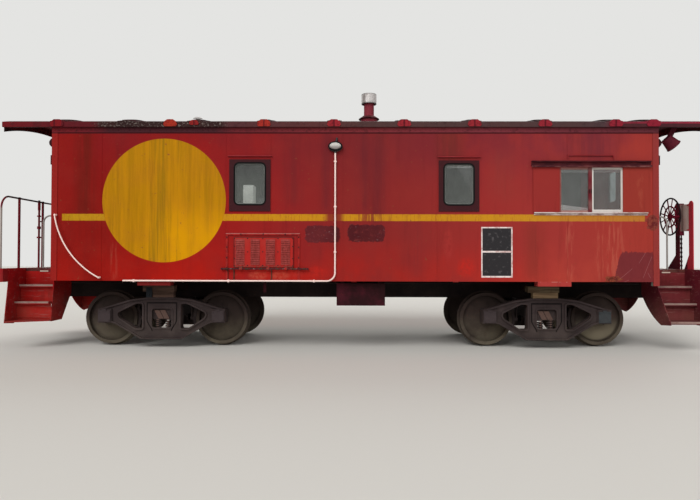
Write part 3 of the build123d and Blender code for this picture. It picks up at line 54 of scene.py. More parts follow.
# One material: its shader, the place on the object, and short words for the nodes that colour it.
# A colour is a chart code or a node's output, and a mask goes from 0 to 1
class Finish:
    def __init__(self, name, roughness=0.6, metallic=0.0, gloss=0.05):
        self.material = bpy.data.materials.new(name)
        self.material.use_nodes = True
        self.tree = self.material.node_tree
        self.shader = self.tree.nodes["Principled BSDF"]
        self.shader.inputs["Roughness"].default_value = roughness
        self.shader.inputs["Metallic"].default_value = metallic
        self.shader.inputs["Specular IOR Level"].default_value = gloss
        self.place = self.make("ShaderNodeTexCoord").outputs["Object"]
        self.x, self.y, self.z = self.make("ShaderNodeSeparateXYZ", {"Vector": self.place}).outputs

    def make(self, kind, inputs=None, **settings):
        node = self.tree.nodes.new(kind)
        for key, value in settings.items():
            setattr(node, key, value)
        for key, value in (inputs or {}).items():
            self.give(node.inputs[key], value)
        return node

    def give(self, socket, value):
        if isinstance(value, bpy.types.NodeSocket):
            self.tree.links.new(value, socket)
        else:
            socket.default_value = shade(value) if isinstance(value, str) else value

    def calc(self, operation, first, second=0.0, clamp=False):
        inputs = {0: first, 1: second}
        return self.make("ShaderNodeMath", inputs, operation=operation, use_clamp=clamp).outputs[0]

    def apart(self, value, middle):
        # How far a value lies from its middle, on either side
        return self.calc("ABSOLUTE", self.calc("SUBTRACT", value, middle))

    def both(self, *masks):
        result = masks[0]
        for mask in masks[1:]:
            result = self.calc("MULTIPLY", result, mask, clamp=True)
        return result

    def either(self, *masks):
        result = masks[0]
        for mask in masks[1:]:
            result = self.calc("MAXIMUM", result, mask)
        return result

    def without(self, mask):
        return self.calc("SUBTRACT", 1.0, mask)

    def rise(self, value, low, high):
        # 0 below low and 1 above high, or the other way round when low is the larger
        inputs = {"Value": value, "From Min": min(low, high), "From Max": max(low, high),
                  "To Min": float(low > high), "To Max": float(low < high)}
        return self.make("ShaderNodeMapRange", inputs, interpolation_type="SMOOTHSTEP").outputs[0]

    def band(self, value, low, high, soft=0.004):
        return self.both(self.rise(value, low - soft, low + soft),
                         self.rise(value, high + soft, high - soft))

    def nearSide(self):
        return self.rise(self.y, 0.1, -0.1)

    def rightEnd(self):
        return self.rise(self.x, -0.5, 0.5)

    def panel(self, left, right, low, high, soft=0.004):
        return self.both(self.band(self.x, left, right, soft), self.band(self.z, low, high, soft))

    def away(self, first, second):
        squares = [self.calc("MULTIPLY", value, value) for value in (first, second)]
        return self.calc("SQRT", self.calc("ADD", *squares))

    def rounded(self, left, right, low, high, corner, soft=0.01):
        # A panel with round corners on the side of the car
        past = []
        for value, start, stop in ((self.x, left, right), (self.z, low, high)):
            offset = self.apart(value, (start + stop) / 2)
            past.append(self.calc("MAXIMUM", self.calc("SUBTRACT", offset, (stop - start) / 2 - corner), 0.0))
        return self.rise(self.away(*past), corner + soft, corner - soft)

    def spot(self, middleX, middleZ, wide, high, soft=0.3):
        # An oval on the side of the car, from its half sizes
        across = self.calc("DIVIDE", self.calc("SUBTRACT", self.x, middleX), wide)
        upward = self.calc("DIVIDE", self.calc("SUBTRACT", self.z, middleZ), high)
        return self.rise(self.away(across, upward), 1 + soft, 1 - soft)

    def scratch(self, start, stop, wide):
        # A straight scratch between two (x, z) places
        long = math.hypot(stop[0] - start[0], stop[1] - start[1])
        aimX = (stop[0] - start[0]) / long
        aimZ = (stop[1] - start[1]) / long
        fromX = self.calc("SUBTRACT", self.x, start[0])
        fromZ = self.calc("SUBTRACT", self.z, start[1])
        along = self.calc("ADD", self.calc("MULTIPLY", fromX, aimX), self.calc("MULTIPLY", fromZ, aimZ))
        across = self.calc("SUBTRACT", self.calc("MULTIPLY", fromX, aimZ), self.calc("MULTIPLY", fromZ, aimX))
        return self.both(self.band(along, 0.0, long, 0.01),
                         self.rise(self.calc("ABSOLUTE", across), wide, wide * 0.4))

    def noise(self, scale, stretch=(1, 1, 1), detail=4, rough=0.6, shift=0.0):
        spot = self.make("ShaderNodeMapping",
                         {"Vector": self.place, "Location": (shift, shift, shift), "Scale": stretch})
        return self.make("ShaderNodeTexNoise", {"Vector": spot.outputs[0], "Scale": scale,
                                                "Detail": detail, "Roughness": rough}).outputs[0]

    def torn(self, mask, noise, reach=1.6):
        # A soft mask whose edge follows a noise
        wander = self.calc("MULTIPLY", self.calc("SUBTRACT", noise, 0.5), reach)
        return self.rise(self.calc("ADD", mask, wander), 0.45, 0.62)

    def mix(self, factor, first, second):
        node = self.make("ShaderNodeMix", data_type="RGBA")
        for socket, value in ((node.inputs[0], factor), (node.inputs[6], first), (node.inputs[7], second)):
            self.give(socket, value)
        return node.outputs[2]

    def lay(self, base, colour, *masks):
        # A colour laid over the base, as far as all of the masks let it
        return self.mix(self.both(*masks), base, colour)

    def ramp(self, value, stops):
        node = self.make("ShaderNodeValToRGB", {"Fac": value})
        points = node.color_ramp.elements
        while len(points) < len(stops):
            points.new(0.5)
        for point, (position, colour) in zip(points, stops):
            point.position = position
            point.color = colour
        return node.outputs[0]

    def along(self, stops, half):
        # A colour that changes along the car, from (x, colour) stops
        share = self.calc("DIVIDE", self.calc("ADD", self.x, half), 2 * half)
        return self.ramp(share, [((x + half) / (2 * half), shade(code)) for x, code in stops])

    def done(self, colour, roughness=None, height=None, strength=0.25):
        self.give(self.shader.inputs["Base Color"], colour)
        if roughness is not None:
            self.give(self.shader.inputs["Roughness"], roughness)
        if height is not None:
            relief = self.make("ShaderNodeBump", {"Height": height, "Strength": strength, "Distance": 0.002})
            self.give(self.shader.inputs["Normal"], relief.outputs[0])
        return self.material


# Weather that every painted or bare metal piece has, in these amounts where its own don't differ
usualWeather = {"fade": 0.3, "fadeColour": "A03A30", "streak": 0.35, "streakColour": "3E1416", "rust": 0.45,
                "dust": 0.0, "dustLow": 0.2, "dustHigh": 1.2, "dustColour": "6E6050", "roughness": 0.55}
weatherGrain = {
    "streaks": {"scale": 9.0, "stretch": (1, 1, 0.09), "detail": 5, "rough": 0.7},
    "blotches": {"scale": 2.3, "detail": 5, "rough": 0.62},
    "grain": {"scale": 38.0, "detail": 3, "rough": 0.7},
    "patches": {"scale": 5.5, "detail": 8, "rough": 0.72},
    "rust": ("4E2416", "7C4024"),
}


def weathered(finish, colour, seed, **changes):
    weather = {**usualWeather, **changes}
    streaks = finish.noise(**weatherGrain["streaks"], shift=seed)
    blotches = finish.noise(**weatherGrain["blotches"], shift=seed + 4.0)
    grain = finish.noise(**weatherGrain["grain"], shift=seed + 7.0)
    patches = finish.rise(finish.noise(**weatherGrain["patches"], shift=seed + 11.0), 0.66, 0.71)
    colour = finish.lay(colour, weather["fadeColour"], finish.rise(blotches, 0.42, 0.66), weather["fade"])
    colour = finish.lay(colour, weather["streakColour"], finish.rise(streaks, 0.50, 0.74), weather["streak"])
    specks = finish.both(finish.rise(grain, 0.58, 0.70), finish.rise(blotches, 0.50, 0.62))
    rust = finish.both(finish.either(specks, patches), weather["rust"])
    colour = finish.lay(colour, finish.mix(grain, *weatherGrain["rust"]), rust)
    if weather["dust"] > 0:
        low = finish.rise(finish.z, weather["dustHigh"], weather["dustLow"])
        colour = finish.lay(colour, weather["dustColour"], low, finish.rise(blotches, 0.25, 0.7),
                            weather["dust"])
    rough = finish.calc("ADD", finish.calc("MULTIPLY", blotches, 0.35),
                        finish.calc("ADD", finish.calc("MULTIPLY", rust, 0.3), weather["roughness"] - 0.17))
    relief = finish.calc("ADD", finish.calc("MULTIPLY", grain, 0.5), finish.calc("MULTIPLY", rust, -0.5))
    return colour, rough, relief


def painted(finish, colour, seed, strength=0.25, **changes):
    return finish.done(*weathered(finish, colour, seed, **changes), strength)


# Side walls: red paint that changes along the car and up it, with the stripe, the disc and the panels
wall = {
    "face": 1.422, "half": 4.572,
    # Colours that change along the car: (x, colour)
    "red": ((-4.5, "8A1712"), (-3.9, "84130E"), (-2.8, "941511"), (-1.6, "981D1C"), (-0.9, "8E2222"),
            (-0.1, "862625"), (0.9, "8C2A28"), (1.9, "982D2B"), (3.1, "9E3531"), (4.5, "A2382F")),
    "upper": ((-4.5, "821318"), (0.0, "742429"), (3.3, "722936"), (4.5, "8A2E33")),
    "lower": ((-4.5, "9E150D"), (-1.9, "B81D11"), (0.6, "AA231B"), (2.4, "B03028"), (3.3, "B84638"),
              (4.5, "9E352F")),
    "upperRise": (2.15, 3.30), "lowerRise": (1.85, 1.08),
    # Dark runs of water dirt: middle, half width, low, high, colour, amount
    "runs": ((-4.06, 0.24, 2.02, 3.36, "67170F", 0.85), (-3.52, 0.16, 2.5, 3.36, "6E1A1C", 0.5),
             (-0.92, 0.26, 2.2, 3.3, "6A2226", 0.55), (-0.42, 0.14, 2.1, 3.36, "682228", 0.6),
             (0.14, 0.16, 2.1, 3.36, "602228", 0.6), (0.36, 0.20, 1.9, 3.36, "5E2228", 0.6),
             (0.92, 0.3, 1.2, 2.0, "782A2C", 0.5),
             (1.45, 0.34, 2.8, 3.36, "642A26", 0.7), (2.72, 0.26, 1.1, 1.95, "7C3028", 0.55),
             (3.6, 0.62, 2.86, 3.36, "682A33", 0.6), (2.2, 0.3, 2.3, 3.0, "8A3A34", 0.4)),
    # Chalky runs of pale paint: middle, half width, low, high, amount
    "chalk": ((3.24, 0.09, 1.1, 1.95, 0.45), (3.85, 0.32, 1.1, 1.95, 0.38), (-3.62, 0.08, 1.08, 1.6, 0.2)),
    # Daubs of newer paint: middle, half sizes, colour
    "touchUps": ((1.69, 1.27, 0.12, 0.13, "BC2820"), (1.42, 1.62, 0.07, 0.22, "A4332F"),
                 (-0.56, 1.20, 0.14, 0.075, "B8241C"), (-1.447, 1.143, 0.128, 0.055, "B84A38"),
                 (-1.11, 1.143, 0.130, 0.055, "B84A38"), (-0.86, 1.17, 0.09, 0.07, "B42C24")),
    "cornerStrip": (4.478, 4.484), "cornerRed": ((-4.5, "962622"), (4.5, "843636")),
    "stripe": (-4.410, 4.362, 1.967, 2.069), "stripeGap": (-0.42, -0.17), "stripeWorn": (0.08, 0.46),
    "stripeTone": ((-4.4, "B98A16"), (-1.9, "C98E18"), (1.0, "C68A1C"), (2.5, "C98E20"), (3.3, "BA7C2C"),
                   (4.4, "B87830")),
    "disc": (-2.866, 2.274, 0.935), "discLightX": (-3.4, -2.6), "discLightZ": (2.4, 1.7),
    "discRun": (0.36, 0.16),
    "panelEdge": (1.914, 2.382, 1.122, 1.881),
    "panels": ((1.932, 2.362, 1.522, 1.862), (1.932, 2.362, 1.146, 1.496)),
    "overpaint": ((-0.734, -0.205, 1.640, 1.896), (-0.090, 0.470, 1.652, 1.912)),
    "overpaintCorner": 0.075,
    "patchCorner": (3.88, 1.03, 0.25), "patch": (3.86, 4.482, 0.98, 1.51),
    "scratches": (((3.98, 1.10), (4.17, 1.26), 0.004), ((4.27, 1.34), (4.37, 1.50), 0.004),
                  ((4.33, 1.12), (4.46, 1.44), 0.004), ((4.05, 1.06), (4.12, 1.09), 0.004),
                  ((4.40, 1.20), (4.44, 1.12), 0.004)),
    # Rust at the corner: middle and half sizes, softness, raggedness, two colours, amount
    "rustSpots": (((3.87, 1.09, 0.11, 0.07), 1.0, 3.0, "3A2019", "83452F", 0.85),
                  ((4.47, 1.95, 0.09, 0.12), 0.6, 2.2, "4A1B20", "7A4034", 0.75)),
    "band": 3.300, "bandTone": ((-4.5, "701E24"), (-3.95, "661C24"), (-3.7, "462026"), (-2.1, "482228"),
                                (-1.8, "6A262C"), (0.0, "7A2E33"), (2.0, "7A343C"), (4.5, "602C34")),
    "sheet": 0.012,  # how far in from the face the red goes
}


def wallPaint():
    finish = Finish("wallPaint")
    near = finish.nearSide()
    columns = finish.noise(7.0, stretch=(1, 1, 0.05), detail=6, rough=0.72, shift=2.0)
    fine = finish.noise(30.0, stretch=(1, 1, 0.10), detail=4, rough=0.6, shift=5.0)
    cloud = finish.noise(1.3, stretch=(1, 1, 0.7), detail=5, rough=0.6, shift=13.0)
    ragged = finish.noise(17.0, detail=6, rough=0.66, shift=6.0)
    red = finish.along(wall["red"], wall["half"])
    red = finish.lay(red, finish.along(wall["upper"], wall["half"]),
                     finish.rise(finish.z, *wall["upperRise"]), finish.rise(cloud, 0.25, 0.60), 0.75)
    red = finish.lay(red, finish.along(wall["lower"], wall["half"]),
                     finish.rise(finish.z, *wall["lowerRise"]), finish.rise(cloud, 0.70, 0.34), 0.9)
    for middle, half, low, high, code, amount in wall["runs"]:
        red = finish.lay(red, code, finish.rise(finish.apart(finish.x, middle), half, 0.0),
                         finish.band(finish.z, low, high, 0.14), finish.rise(columns, 0.30, 0.58), amount)
    for middle, half, low, high, amount in wall["chalk"]:
        red = finish.lay(red, "BE6250", finish.rise(finish.apart(finish.x, middle), half, half * 0.3),
                         finish.band(finish.z, low, high, 0.10), finish.rise(fine, 0.46, 0.62), amount)
    for middleX, middleZ, wide, high, code in wall["touchUps"]:
        red = finish.lay(red, code, finish.spot(middleX, middleZ, wide, high, 0.45),
                         finish.rise(ragged, 0.30, 0.62), near, 0.85)
    red = finish.lay(red, finish.along(wall["cornerRed"], wall["half"]),
                     finish.rise(finish.calc("ABSOLUTE", finish.x), *wall["cornerStrip"]), 0.6)

    # Yellow stripe and disc, worn through in short upright notches
    left, right, low, high = wall["stripe"]
    discX, discZ, discRadius = wall["disc"]
    reach = finish.away(finish.calc("SUBTRACT", finish.x, discX), finish.calc("SUBTRACT", finish.z, discZ))
    disc = finish.rise(reach, discRadius + 0.004, discRadius - 0.004)
    ochre = finish.mix(finish.rise(columns, 0.40, 0.62), "C08406", "AC7804")
    ochre = finish.lay(ochre, "DC9A00", finish.rise(finish.x, *wall["discLightX"]),
                       finish.rise(finish.z, *wall["discLightZ"]), 0.85)
    middleRun = finish.rise(finish.apart(finish.x, discX), *wall["discRun"])
    drips = finish.noise(20.0, stretch=(1, 1, 0.03), detail=4, rough=0.6, shift=15.0)
    ochre = finish.lay(ochre, "86690C", finish.rise(drips, 0.46, 0.70),
                       finish.calc("ADD", finish.both(middleRun, 0.5), 0.2))
    red = finish.lay(red, ochre, disc, 0.97)
    edgeWander = finish.calc("MULTIPLY", finish.calc("SUBTRACT", ragged, 0.5), 0.010)
    stripe = finish.both(finish.band(finish.calc("ADD", finish.x, edgeWander), left, right, 0.006),
                         finish.band(finish.calc("ADD", finish.z, edgeWander), low, high))
    upright = finish.noise(58.0, stretch=(1, 1, 0.12), detail=5, rough=0.75, shift=9.0)
    notches = finish.both(finish.rise(upright, 0.52, 0.66), finish.without(finish.both(disc, 0.85)))
    gap = finish.both(finish.band(finish.x, *wall["stripeGap"], 0.05), 0.9)
    worn = finish.both(finish.band(finish.x, *wall["stripeWorn"], 0.08), finish.rise(fine, 0.38, 0.58), 0.8)
    keep = finish.both(stripe, finish.without(finish.both(notches, 0.45)), finish.without(gap),
                       finish.without(worn))
    red = finish.lay(red, finish.along(wall["stripeTone"], wall["half"]), keep, finish.without(disc))

    # Two dark patches of overpaint, scuffed to bare and white
    scuff = finish.noise(30.0, stretch=(0.7, 1, 1.6), detail=5, rough=0.7, shift=31.0)
    scuff = finish.rise(scuff, 0.64, 0.70)
    for place in wall["overpaint"]:
        patch = finish.rounded(*place, wall["overpaintCorner"], 0.05)
        dark = finish.mix(finish.rise(cloud, 0.35, 0.65), "3C171D", "5A2429")
        dark = finish.lay(dark, "7A3234", finish.rise(ragged, 0.54, 0.66), 0.5)
        dark = finish.lay(dark, "B49A9C", scuff, 0.6)
        red = finish.lay(red, dark, finish.torn(patch, ragged, 1.5), near, 0.86)

    # The bare maroon patch at the right-hand corner, and the rust round it
    left, right, low, high = wall["patch"]
    cornerX, cornerZ, lean = wall["patchCorner"]
    slanted = finish.calc("SUBTRACT", finish.x,
                          finish.calc("MULTIPLY", finish.calc("SUBTRACT", finish.z, cornerZ), lean))
    patch = finish.both(finish.rise(slanted, cornerX - 0.03, cornerX + 0.03),
                        finish.band(finish.z, low, high, 0.10), finish.band(finish.x, left, right, 0.01),
                        near)
    red = finish.lay(red, finish.mix(cloud, "62242A", "7A3236"), finish.torn(patch, ragged, 1.3), 0.9)
    blotch = finish.rise(ragged, 0.42, 0.58)
    for place, soft, reach, dark, light, amount in wall["rustSpots"]:
        daub = finish.torn(finish.spot(*place, soft), ragged, reach)
        red = finish.lay(red, finish.mix(blotch, dark, light), daub, near, amount)
    for start, stop, wide in wall["scratches"]:
        red = finish.lay(red, "B87E80", finish.scratch(start, stop, wide), near, 0.35)
    colour, rough, relief = weathered(finish, red, 0.0, fade=0.08, fadeColour="9C3A30", streak=0.16,
                                      streakColour="4E1718", rust=0.22, roughness=0.52)

    # The band under the eave: maroon, near black where tar ran down over it, and partly painted shade
    maroon = finish.along(wall["bandTone"], wall["half"])
    mottle = finish.lay(maroon, "34191C", finish.rise(ragged, 0.5, 0.66), 0.45)
    colour = finish.lay(colour, mottle, finish.rise(finish.z, wall["band"] - 0.002, wall["band"] + 0.002))
    # A painted shadow line along the foot of the band
    colour = finish.lay(colour, "34141A", finish.band(finish.z, wall["band"] - 0.016, wall["band"] + 0.004),
                        0.75)

    # Blank data panels inside one white frame
    frameWear = finish.calc("ADD", finish.both(finish.rise(ragged, 0.62, 0.44), 0.5), 0.45)
    colour = finish.lay(colour, "F0E4E0", finish.panel(*wall["panelEdge"], 0.003), near, frameWear)
    for place in wall["panels"]:
        black = finish.lay("312F31", "7A7476", finish.rise(ragged, 0.56, 0.68), 0.35)
        colour = finish.lay(colour, black, finish.panel(*place, 0.003), near)
    # The inside of the wall is plain grey-green paint
    inner = wall["face"] - wall["sheet"]
    colour = finish.lay(colour, "7C8078", finish.band(finish.y, -inner, inner, 0.002))
    return finish.done(colour, rough, relief, 0.22)


# Roof: dark maroon sheet under tar and soot, with bright red lumps where the ribs meet the eave
roofLook = {
    "half": 5.307, "eave": 1.40, "edgeRise": (3.50, 3.47), "under": (3.385, 3.375), "overhang": (1.47, 1.44),
    # Colours that change along the car: (x, colour)
    "edge": ((-5.3, "6E1A20"), (-4.62, "601A22"), (-3.92, "5A1A22"), (-3.82, "30201F"), (-2.0, "342222"),
             (-1.88, "543236"), (-0.4, "5C3636"), (0.1, "523A39"), (3.2, "4E3A3B"), (3.75, "4C393C"),
             (3.95, "86283A"), (5.3, "8E2C3E")),
    "top": ((-5.3, "5E1E22"), (-3.9, "4E1C20"), (-1.9, "3A2224"), (0.2, "402527"), (4.6, "3E2628"),
            (5.3, "5A2028")),
    "lumps": ((-5.3, "78161E"), (-3.6, "801C20"), (-2.7, "A43222"), (-2.3, "8E2426"), (-1.3, "A63228"),
              (-0.3, "9A2A32"), (2.0, "942A32"), (5.3, "882034")),
    "tar": (-3.9, -1.9), "darkX": (3.75, 3.95), "darkZ": (3.432, 3.424),
    "ribFirst": -3.459, "ribPitch": 1.053, "lumpHalf": 0.107, "lumpLow": 3.383, "lumpHigh": 3.492,
    "lumpFace": 1.4735, "crease": (0.018, 0.006), "extraLumps": (-2.764, -2.406, 4.475),
}


def roofPaint():
    finish = Finish("roofPaint")
    ragged = finish.noise(14.0, detail=7, rough=0.7, shift=3.0)
    speckle = finish.noise(34.0, detail=4, rough=0.7, shift=8.0)
    side = finish.calc("ABSOLUTE", finish.y)
    half = roofLook["half"]
    top = finish.lay(finish.along(roofLook["top"], half), "2A2123", finish.rise(ragged, 0.42, 0.62), 0.6)
    eave = finish.along(roofLook["edge"], half)
    eave = finish.lay(eave, "2A1A1E", finish.rise(ragged, 0.52, 0.64), 0.35)
    eave = finish.lay(eave, "8A807A", finish.band(finish.x, *roofLook["tar"], 0.06),
                      finish.rise(speckle, 0.54, 0.64), 0.85)
    eave = finish.lay(eave, "342528", finish.rise(finish.x, *roofLook["darkX"]),
                      finish.rise(finish.z, *roofLook["darkZ"]), 0.85)
    colour = finish.lay(top, eave, finish.rise(side, roofLook["eave"], roofLook["eave"] + 0.05),
                        finish.rise(finish.z, *roofLook["edgeRise"]))
    # Painted shade: the underside of the overhang is darkened
    colour = finish.lay(colour, "2B1C1D", finish.rise(finish.z, *roofLook["under"]),
                        finish.rise(side, *roofLook["overhang"]))
    colour, rough, relief = weathered(finish, colour, 21.0, fade=0.12, fadeColour="5E3230", streak=0.2,
                                      streakColour="1C1214", rust=0.5, roughness=0.75)
    # Each rib's red lump is found from its place in the row, and three more have places of their own
    pitch = roofLook["ribPitch"]
    lumpHalf = roofLook["lumpHalf"]
    fromRib = finish.calc("SUBTRACT", finish.x, roofLook["ribFirst"] - pitch / 2)
    inRow = finish.calc("ABSOLUTE", finish.calc("SUBTRACT", finish.calc("FLOORED_MODULO", fromRib, pitch),
                                                pitch / 2))
    onRib = finish.both(finish.rise(inRow, lumpHalf + 0.006, lumpHalf - 0.002),
                        finish.rise(finish.apart(finish.x, roofLook["ribFirst"]), 0.2, 0.3))
    for place in roofLook["extraLumps"]:
        onRib = finish.either(onRib, finish.band(finish.x, place - lumpHalf, place + lumpHalf))
    lump = finish.both(onRib, finish.band(finish.z, roofLook["lumpLow"], roofLook["lumpHigh"], 0.003),
                       finish.rise(side, roofLook["lumpFace"], roofLook["lumpFace"] + 0.003))
    lumpRed = finish.lay(finish.along(roofLook["lumps"], half), "561820", finish.rise(speckle, 0.48, 0.62),
                         0.6)
    lumpRed = finish.lay(lumpRed, "3A1018", finish.rise(inRow, *roofLook["crease"]), 0.7)
    colour = finish.lay(colour, lumpRed, lump)
    return finish.done(colour, rough, relief, 0.4)


zinc = {"scallops": (4.10, 4.128), "topEdge": (4.276, 4.31)}


def galvanizedSheet():
    # Zinc sheet, dark in its pleats and along the scalloped edges
    finish = Finish("galvanizedSheet", metallic=0.6, gloss=0.4)
    spangle = finish.make("ShaderNodeTexVoronoi", {"Vector": finish.place, "Scale": 60.0}).outputs[0]
    colour = finish.mix(spangle, "A4A09E", "D8D2D0")
    stain = finish.rise(finish.noise(9.0, stretch=(1, 1, 0.3), detail=6), 0.52, 0.66)
    colour = finish.lay(colour, "6A5850", stain, 0.5)
    edges = finish.either(finish.band(finish.z, *zinc["scallops"], 0.006),
                          finish.band(finish.z, *zinc["topEdge"]))
    colour = finish.lay(colour, "3A3836", edges, 0.7)
    return finish.done(colour, finish.calc("ADD", finish.calc("MULTIPLY", stain, 0.3), 0.42), spangle, 0.08)


stackLook = {"x": 0.260, "flare": (3.80, 3.72), "collarLow": (3.84, 3.85), "collarHigh": (3.912, 3.904),
             "collarFrom": (0.10, 0.13)}


def stackPaint():
    # Maroon pipe, a collar with a black edge, and a pale worn flare at the foot
    finish = Finish("stackPaint")
    away = finish.away(finish.calc("SUBTRACT", finish.x, stackLook["x"]), finish.y)
    base = finish.mix(finish.rise(finish.z, *stackLook["flare"]), "84303C", "A87A7A")
    base = finish.lay(base, "2A1B1C", finish.rise(finish.z, *stackLook["collarLow"]),
                      finish.rise(finish.z, *stackLook["collarHigh"]),
                      finish.rise(away, *stackLook["collarFrom"]))
    return painted(finish, base, 18.0, fadeColour="A04A50", streakColour="34181C", rust=0.5)


# Panes: places are left, right, low and high on the side wall
paneLook = {
    "plateTop": (1.3, 1.9, 2.768, 2.90), "sliderTop": (3.0, 4.0, 2.705, 2.80),
    "corners": ((1.40, 2.24, 0.10, 0.12), (1.74, 2.27, 0.14, 0.15)), "sill": (1.36, 1.80, 2.20, 2.235),
    "bright": (3.10, 3.53, 2.10, 2.30), "brightTop": (2.225, 2.215), "brightFrom": 3.1, "brightLean": 0.12,
}


def pane(name, dusty, clear, pale, through):
    # A dusty pane with a paler strip at its top, and a painted patch of light on the left-hand sliding pane
    finish = Finish(name, roughness=0.02, gloss=0.5)
    near = finish.nearSide()
    dust = finish.noise(6.0, stretch=(1, 1, 0.6), detail=6)
    colour = finish.mix(finish.rise(dust, 0.30, 0.75), clear, dusty)
    top = finish.either(finish.both(finish.panel(*paneLook["plateTop"], 0.006), 0.9),
                        finish.both(finish.panel(*paneLook["sliderTop"]), 0.7))
    colour = finish.lay(colour, "EEF2F0", top, near, pale)
    grit = finish.rise(finish.noise(46.0, detail=5, rough=0.72, shift=4.0), 0.58, 0.66)
    corners = finish.either(*[finish.spot(*place, 0.5) for place in paneLook["corners"]],
                            finish.both(finish.panel(*paneLook["sill"], 0.01), 0.8))
    colour = finish.lay(colour, "FAFCFA", grit, corners, near, 0.9)
    # Painted light: a bright patch with a slanted top on the left-hand sliding pane
    slope = finish.calc("MULTIPLY", finish.calc("SUBTRACT", finish.x, paneLook["brightFrom"]),
                        paneLook["brightLean"])
    bright = finish.rise(finish.calc("ADD", finish.z, slope), *paneLook["brightTop"])
    colour = finish.lay(colour, "FAFAF8", finish.panel(*paneLook["bright"]), bright, near, 0.95)
    finish.shader.inputs["Transmission Weight"].default_value = through
    finish.shader.inputs["IOR"].default_value = 1.45
    return finish.done(colour)


# Both trucks: how far their middles are from the car's, and their axles from the truck's middle
trucks = {"x": 3.010, "axle": 0.889, "axleHigh": 0.4445}
wheelLook = {"plate": (0.36, 0.32), "dustAndLightRise": (0.46, 0.16), "outerX": (3.3, 3.5)}


def wheelSteel():
    # Dark rust, with grey-green dust low on the wheels
    finish = Finish("wheelSteel", metallic=0.15)
    colour, rough, relief = weathered(finish, "3A302D", 31.0, fade=0.5, fadeColour="4A3E39", streak=0.3,
                                      streakColour="1F1A19", rust=0.3, dust=0.7, dustLow=0.10, dustHigh=0.60,
                                      dustColour="746C5C", roughness=0.75)
    # Pale dust and painted light on the lower half of each wheel's plate, most on the outer right-hand one
    fromTruck = finish.apart(finish.calc("ABSOLUTE", finish.x), trucks["x"])
    reach = finish.away(finish.calc("SUBTRACT", fromTruck, trucks["axle"]),
                        finish.calc("SUBTRACT", finish.z, trucks["axleHigh"]))
    most = finish.calc("ADD", finish.both(finish.rise(finish.x, *wheelLook["outerX"]), 0.86), 0.04)
    colour = finish.lay(colour, "908672", finish.rise(reach, *wheelLook["plate"]),
                        finish.rise(finish.z, *wheelLook["dustAndLightRise"]), most)
    return finish.done(colour, rough, relief, 0.5)


castLook = {
    "lidFace": (1.098, 1.100), "blueX": (3.4, 3.6), "slot": (0.690, 0.714), "slotHalf": (0.226, 0.218),
    "column": 0.232, "columnLean": 0.085, "leanRise": (0.44, 0.24), "gap": (0.013, 0.006),
    "gapUp": (0.260, 0.714), "gibFront": (1.011, 1.014), "gibBack": (1.030, 1.027),
}


def castSteel():
    finish = Finish("castSteel", metallic=0.05)
    colour, rough, relief = weathered(finish, "393030", 41.0, fade=0.6, fadeColour="4A4040",
                                      streakColour="211C1C", rust=0.2, dust=0.4, dustLow=0.1, dustHigh=0.8,
                                      dustColour="5A5048", roughness=0.78)
    # The worn faces of the lids, bluest at the car's right-hand end
    side = finish.calc("ABSOLUTE", finish.y)
    lidTone = finish.mix(finish.noise(16.0, detail=5, rough=0.7, shift=3.0), "352C2E", "534A4C")
    lidTone = finish.mix(finish.rise(finish.x, *castLook["blueX"]), lidTone,
                         finish.mix(finish.noise(20.0, detail=5, shift=6.0), "2A3236", "4A5558"))
    colour = finish.lay(colour, lidTone, finish.rise(side, *castLook["lidFace"]), 0.6)
    # Painted shade: near black in the gaps between each frame's columns and its bolster
    aside = finish.apart(finish.calc("ABSOLUTE", finish.x), trucks["x"])
    slot = finish.both(finish.band(finish.z, *castLook["slot"]), finish.rise(aside, *castLook["slotHalf"]))
    lean = finish.both(finish.rise(finish.z, *castLook["leanRise"]), castLook["columnLean"])
    gap = finish.both(finish.rise(finish.apart(aside, finish.calc("SUBTRACT", castLook["column"], lean)),
                                  *castLook["gap"]), finish.band(finish.z, *castLook["gapUp"], 0.01))
    colour = finish.lay(colour, "0C0A0A", finish.either(slot, gap), 0.85)
    colour = finish.lay(colour, "665048", finish.rise(side, *castLook["gibFront"]),
                        finish.rise(side, *castLook["gibBack"]), 0.8)
    relief = finish.calc("ADD", relief, finish.calc("MULTIPLY", finish.noise(120.0, detail=2), 0.6))
    return finish.done(colour, rough, relief, 0.5)


def timber(name, light, dark, scale, across):
    finish = Finish(name, roughness=0.8)
    rings = finish.noise(scale, stretch=across, detail=6, rough=0.7, shift=5.0)
    stain = finish.noise(5.0, detail=4, shift=8.0)
    colour = finish.mix(finish.rise(rings, 0.35, 0.65), dark, light)
    colour = finish.lay(colour, "4A3527", finish.rise(stain, 0.5, 0.7), 0.5)
    return finish, colour, rings


blockLook = {"lower": (0.872, 0.868), "leftLower": (0.83, 0.80)}


def blockWood():
    # The lower block of the right-hand truck is the palest, the left-hand ones are nearly black-brown
    finish, colour, rings = timber("blockWood", "6A5C48", "4C4032", 9.0, (0.25, 1, 3))
    right = finish.rightEnd()
    grain = finish.rise(rings, 0.35, 0.65)
    colour = finish.lay(colour, finish.mix(grain, "6E5B46", "9A8162"),
                        finish.rise(finish.z, *blockLook["lower"]), right)
    leftWood = finish.lay(finish.mix(grain, "44342D", "604C42"), "6E564C",
                          finish.rise(finish.z, *blockLook["leftLower"]))
    colour = finish.lay(colour, leftWood, finish.without(right))
    return finish.done(colour, None, rings, 0.5)


def floorBoards():
    finish, colour, rings = timber("floorBoards", "6A5644", "463629", 6.0, (0.2, 5, 1))
    return finish.done(colour, None, rings, 0.5)


def beamPaint():
    # One colour at the left-hand end of the car and another at the right
    finish = Finish("beamPaint")
    base = finish.mix(finish.rightEnd(), "8E1C20", "541C27")
    return painted(finish, base, 12.0, fade=0.2, fadeColour="9A3A34", rust=0.4)


brakeLook = {
    "nearPost": (-0.76, -0.78), "canisterY": (-0.768, -0.656), "canisterZ": (1.858, 2.292),
    "canisterX": (5.305, 5.315), "chainX": (5.31, 5.352), "chainY": (-0.690, -0.655),
    "chainTop": (1.80, 1.78),
}


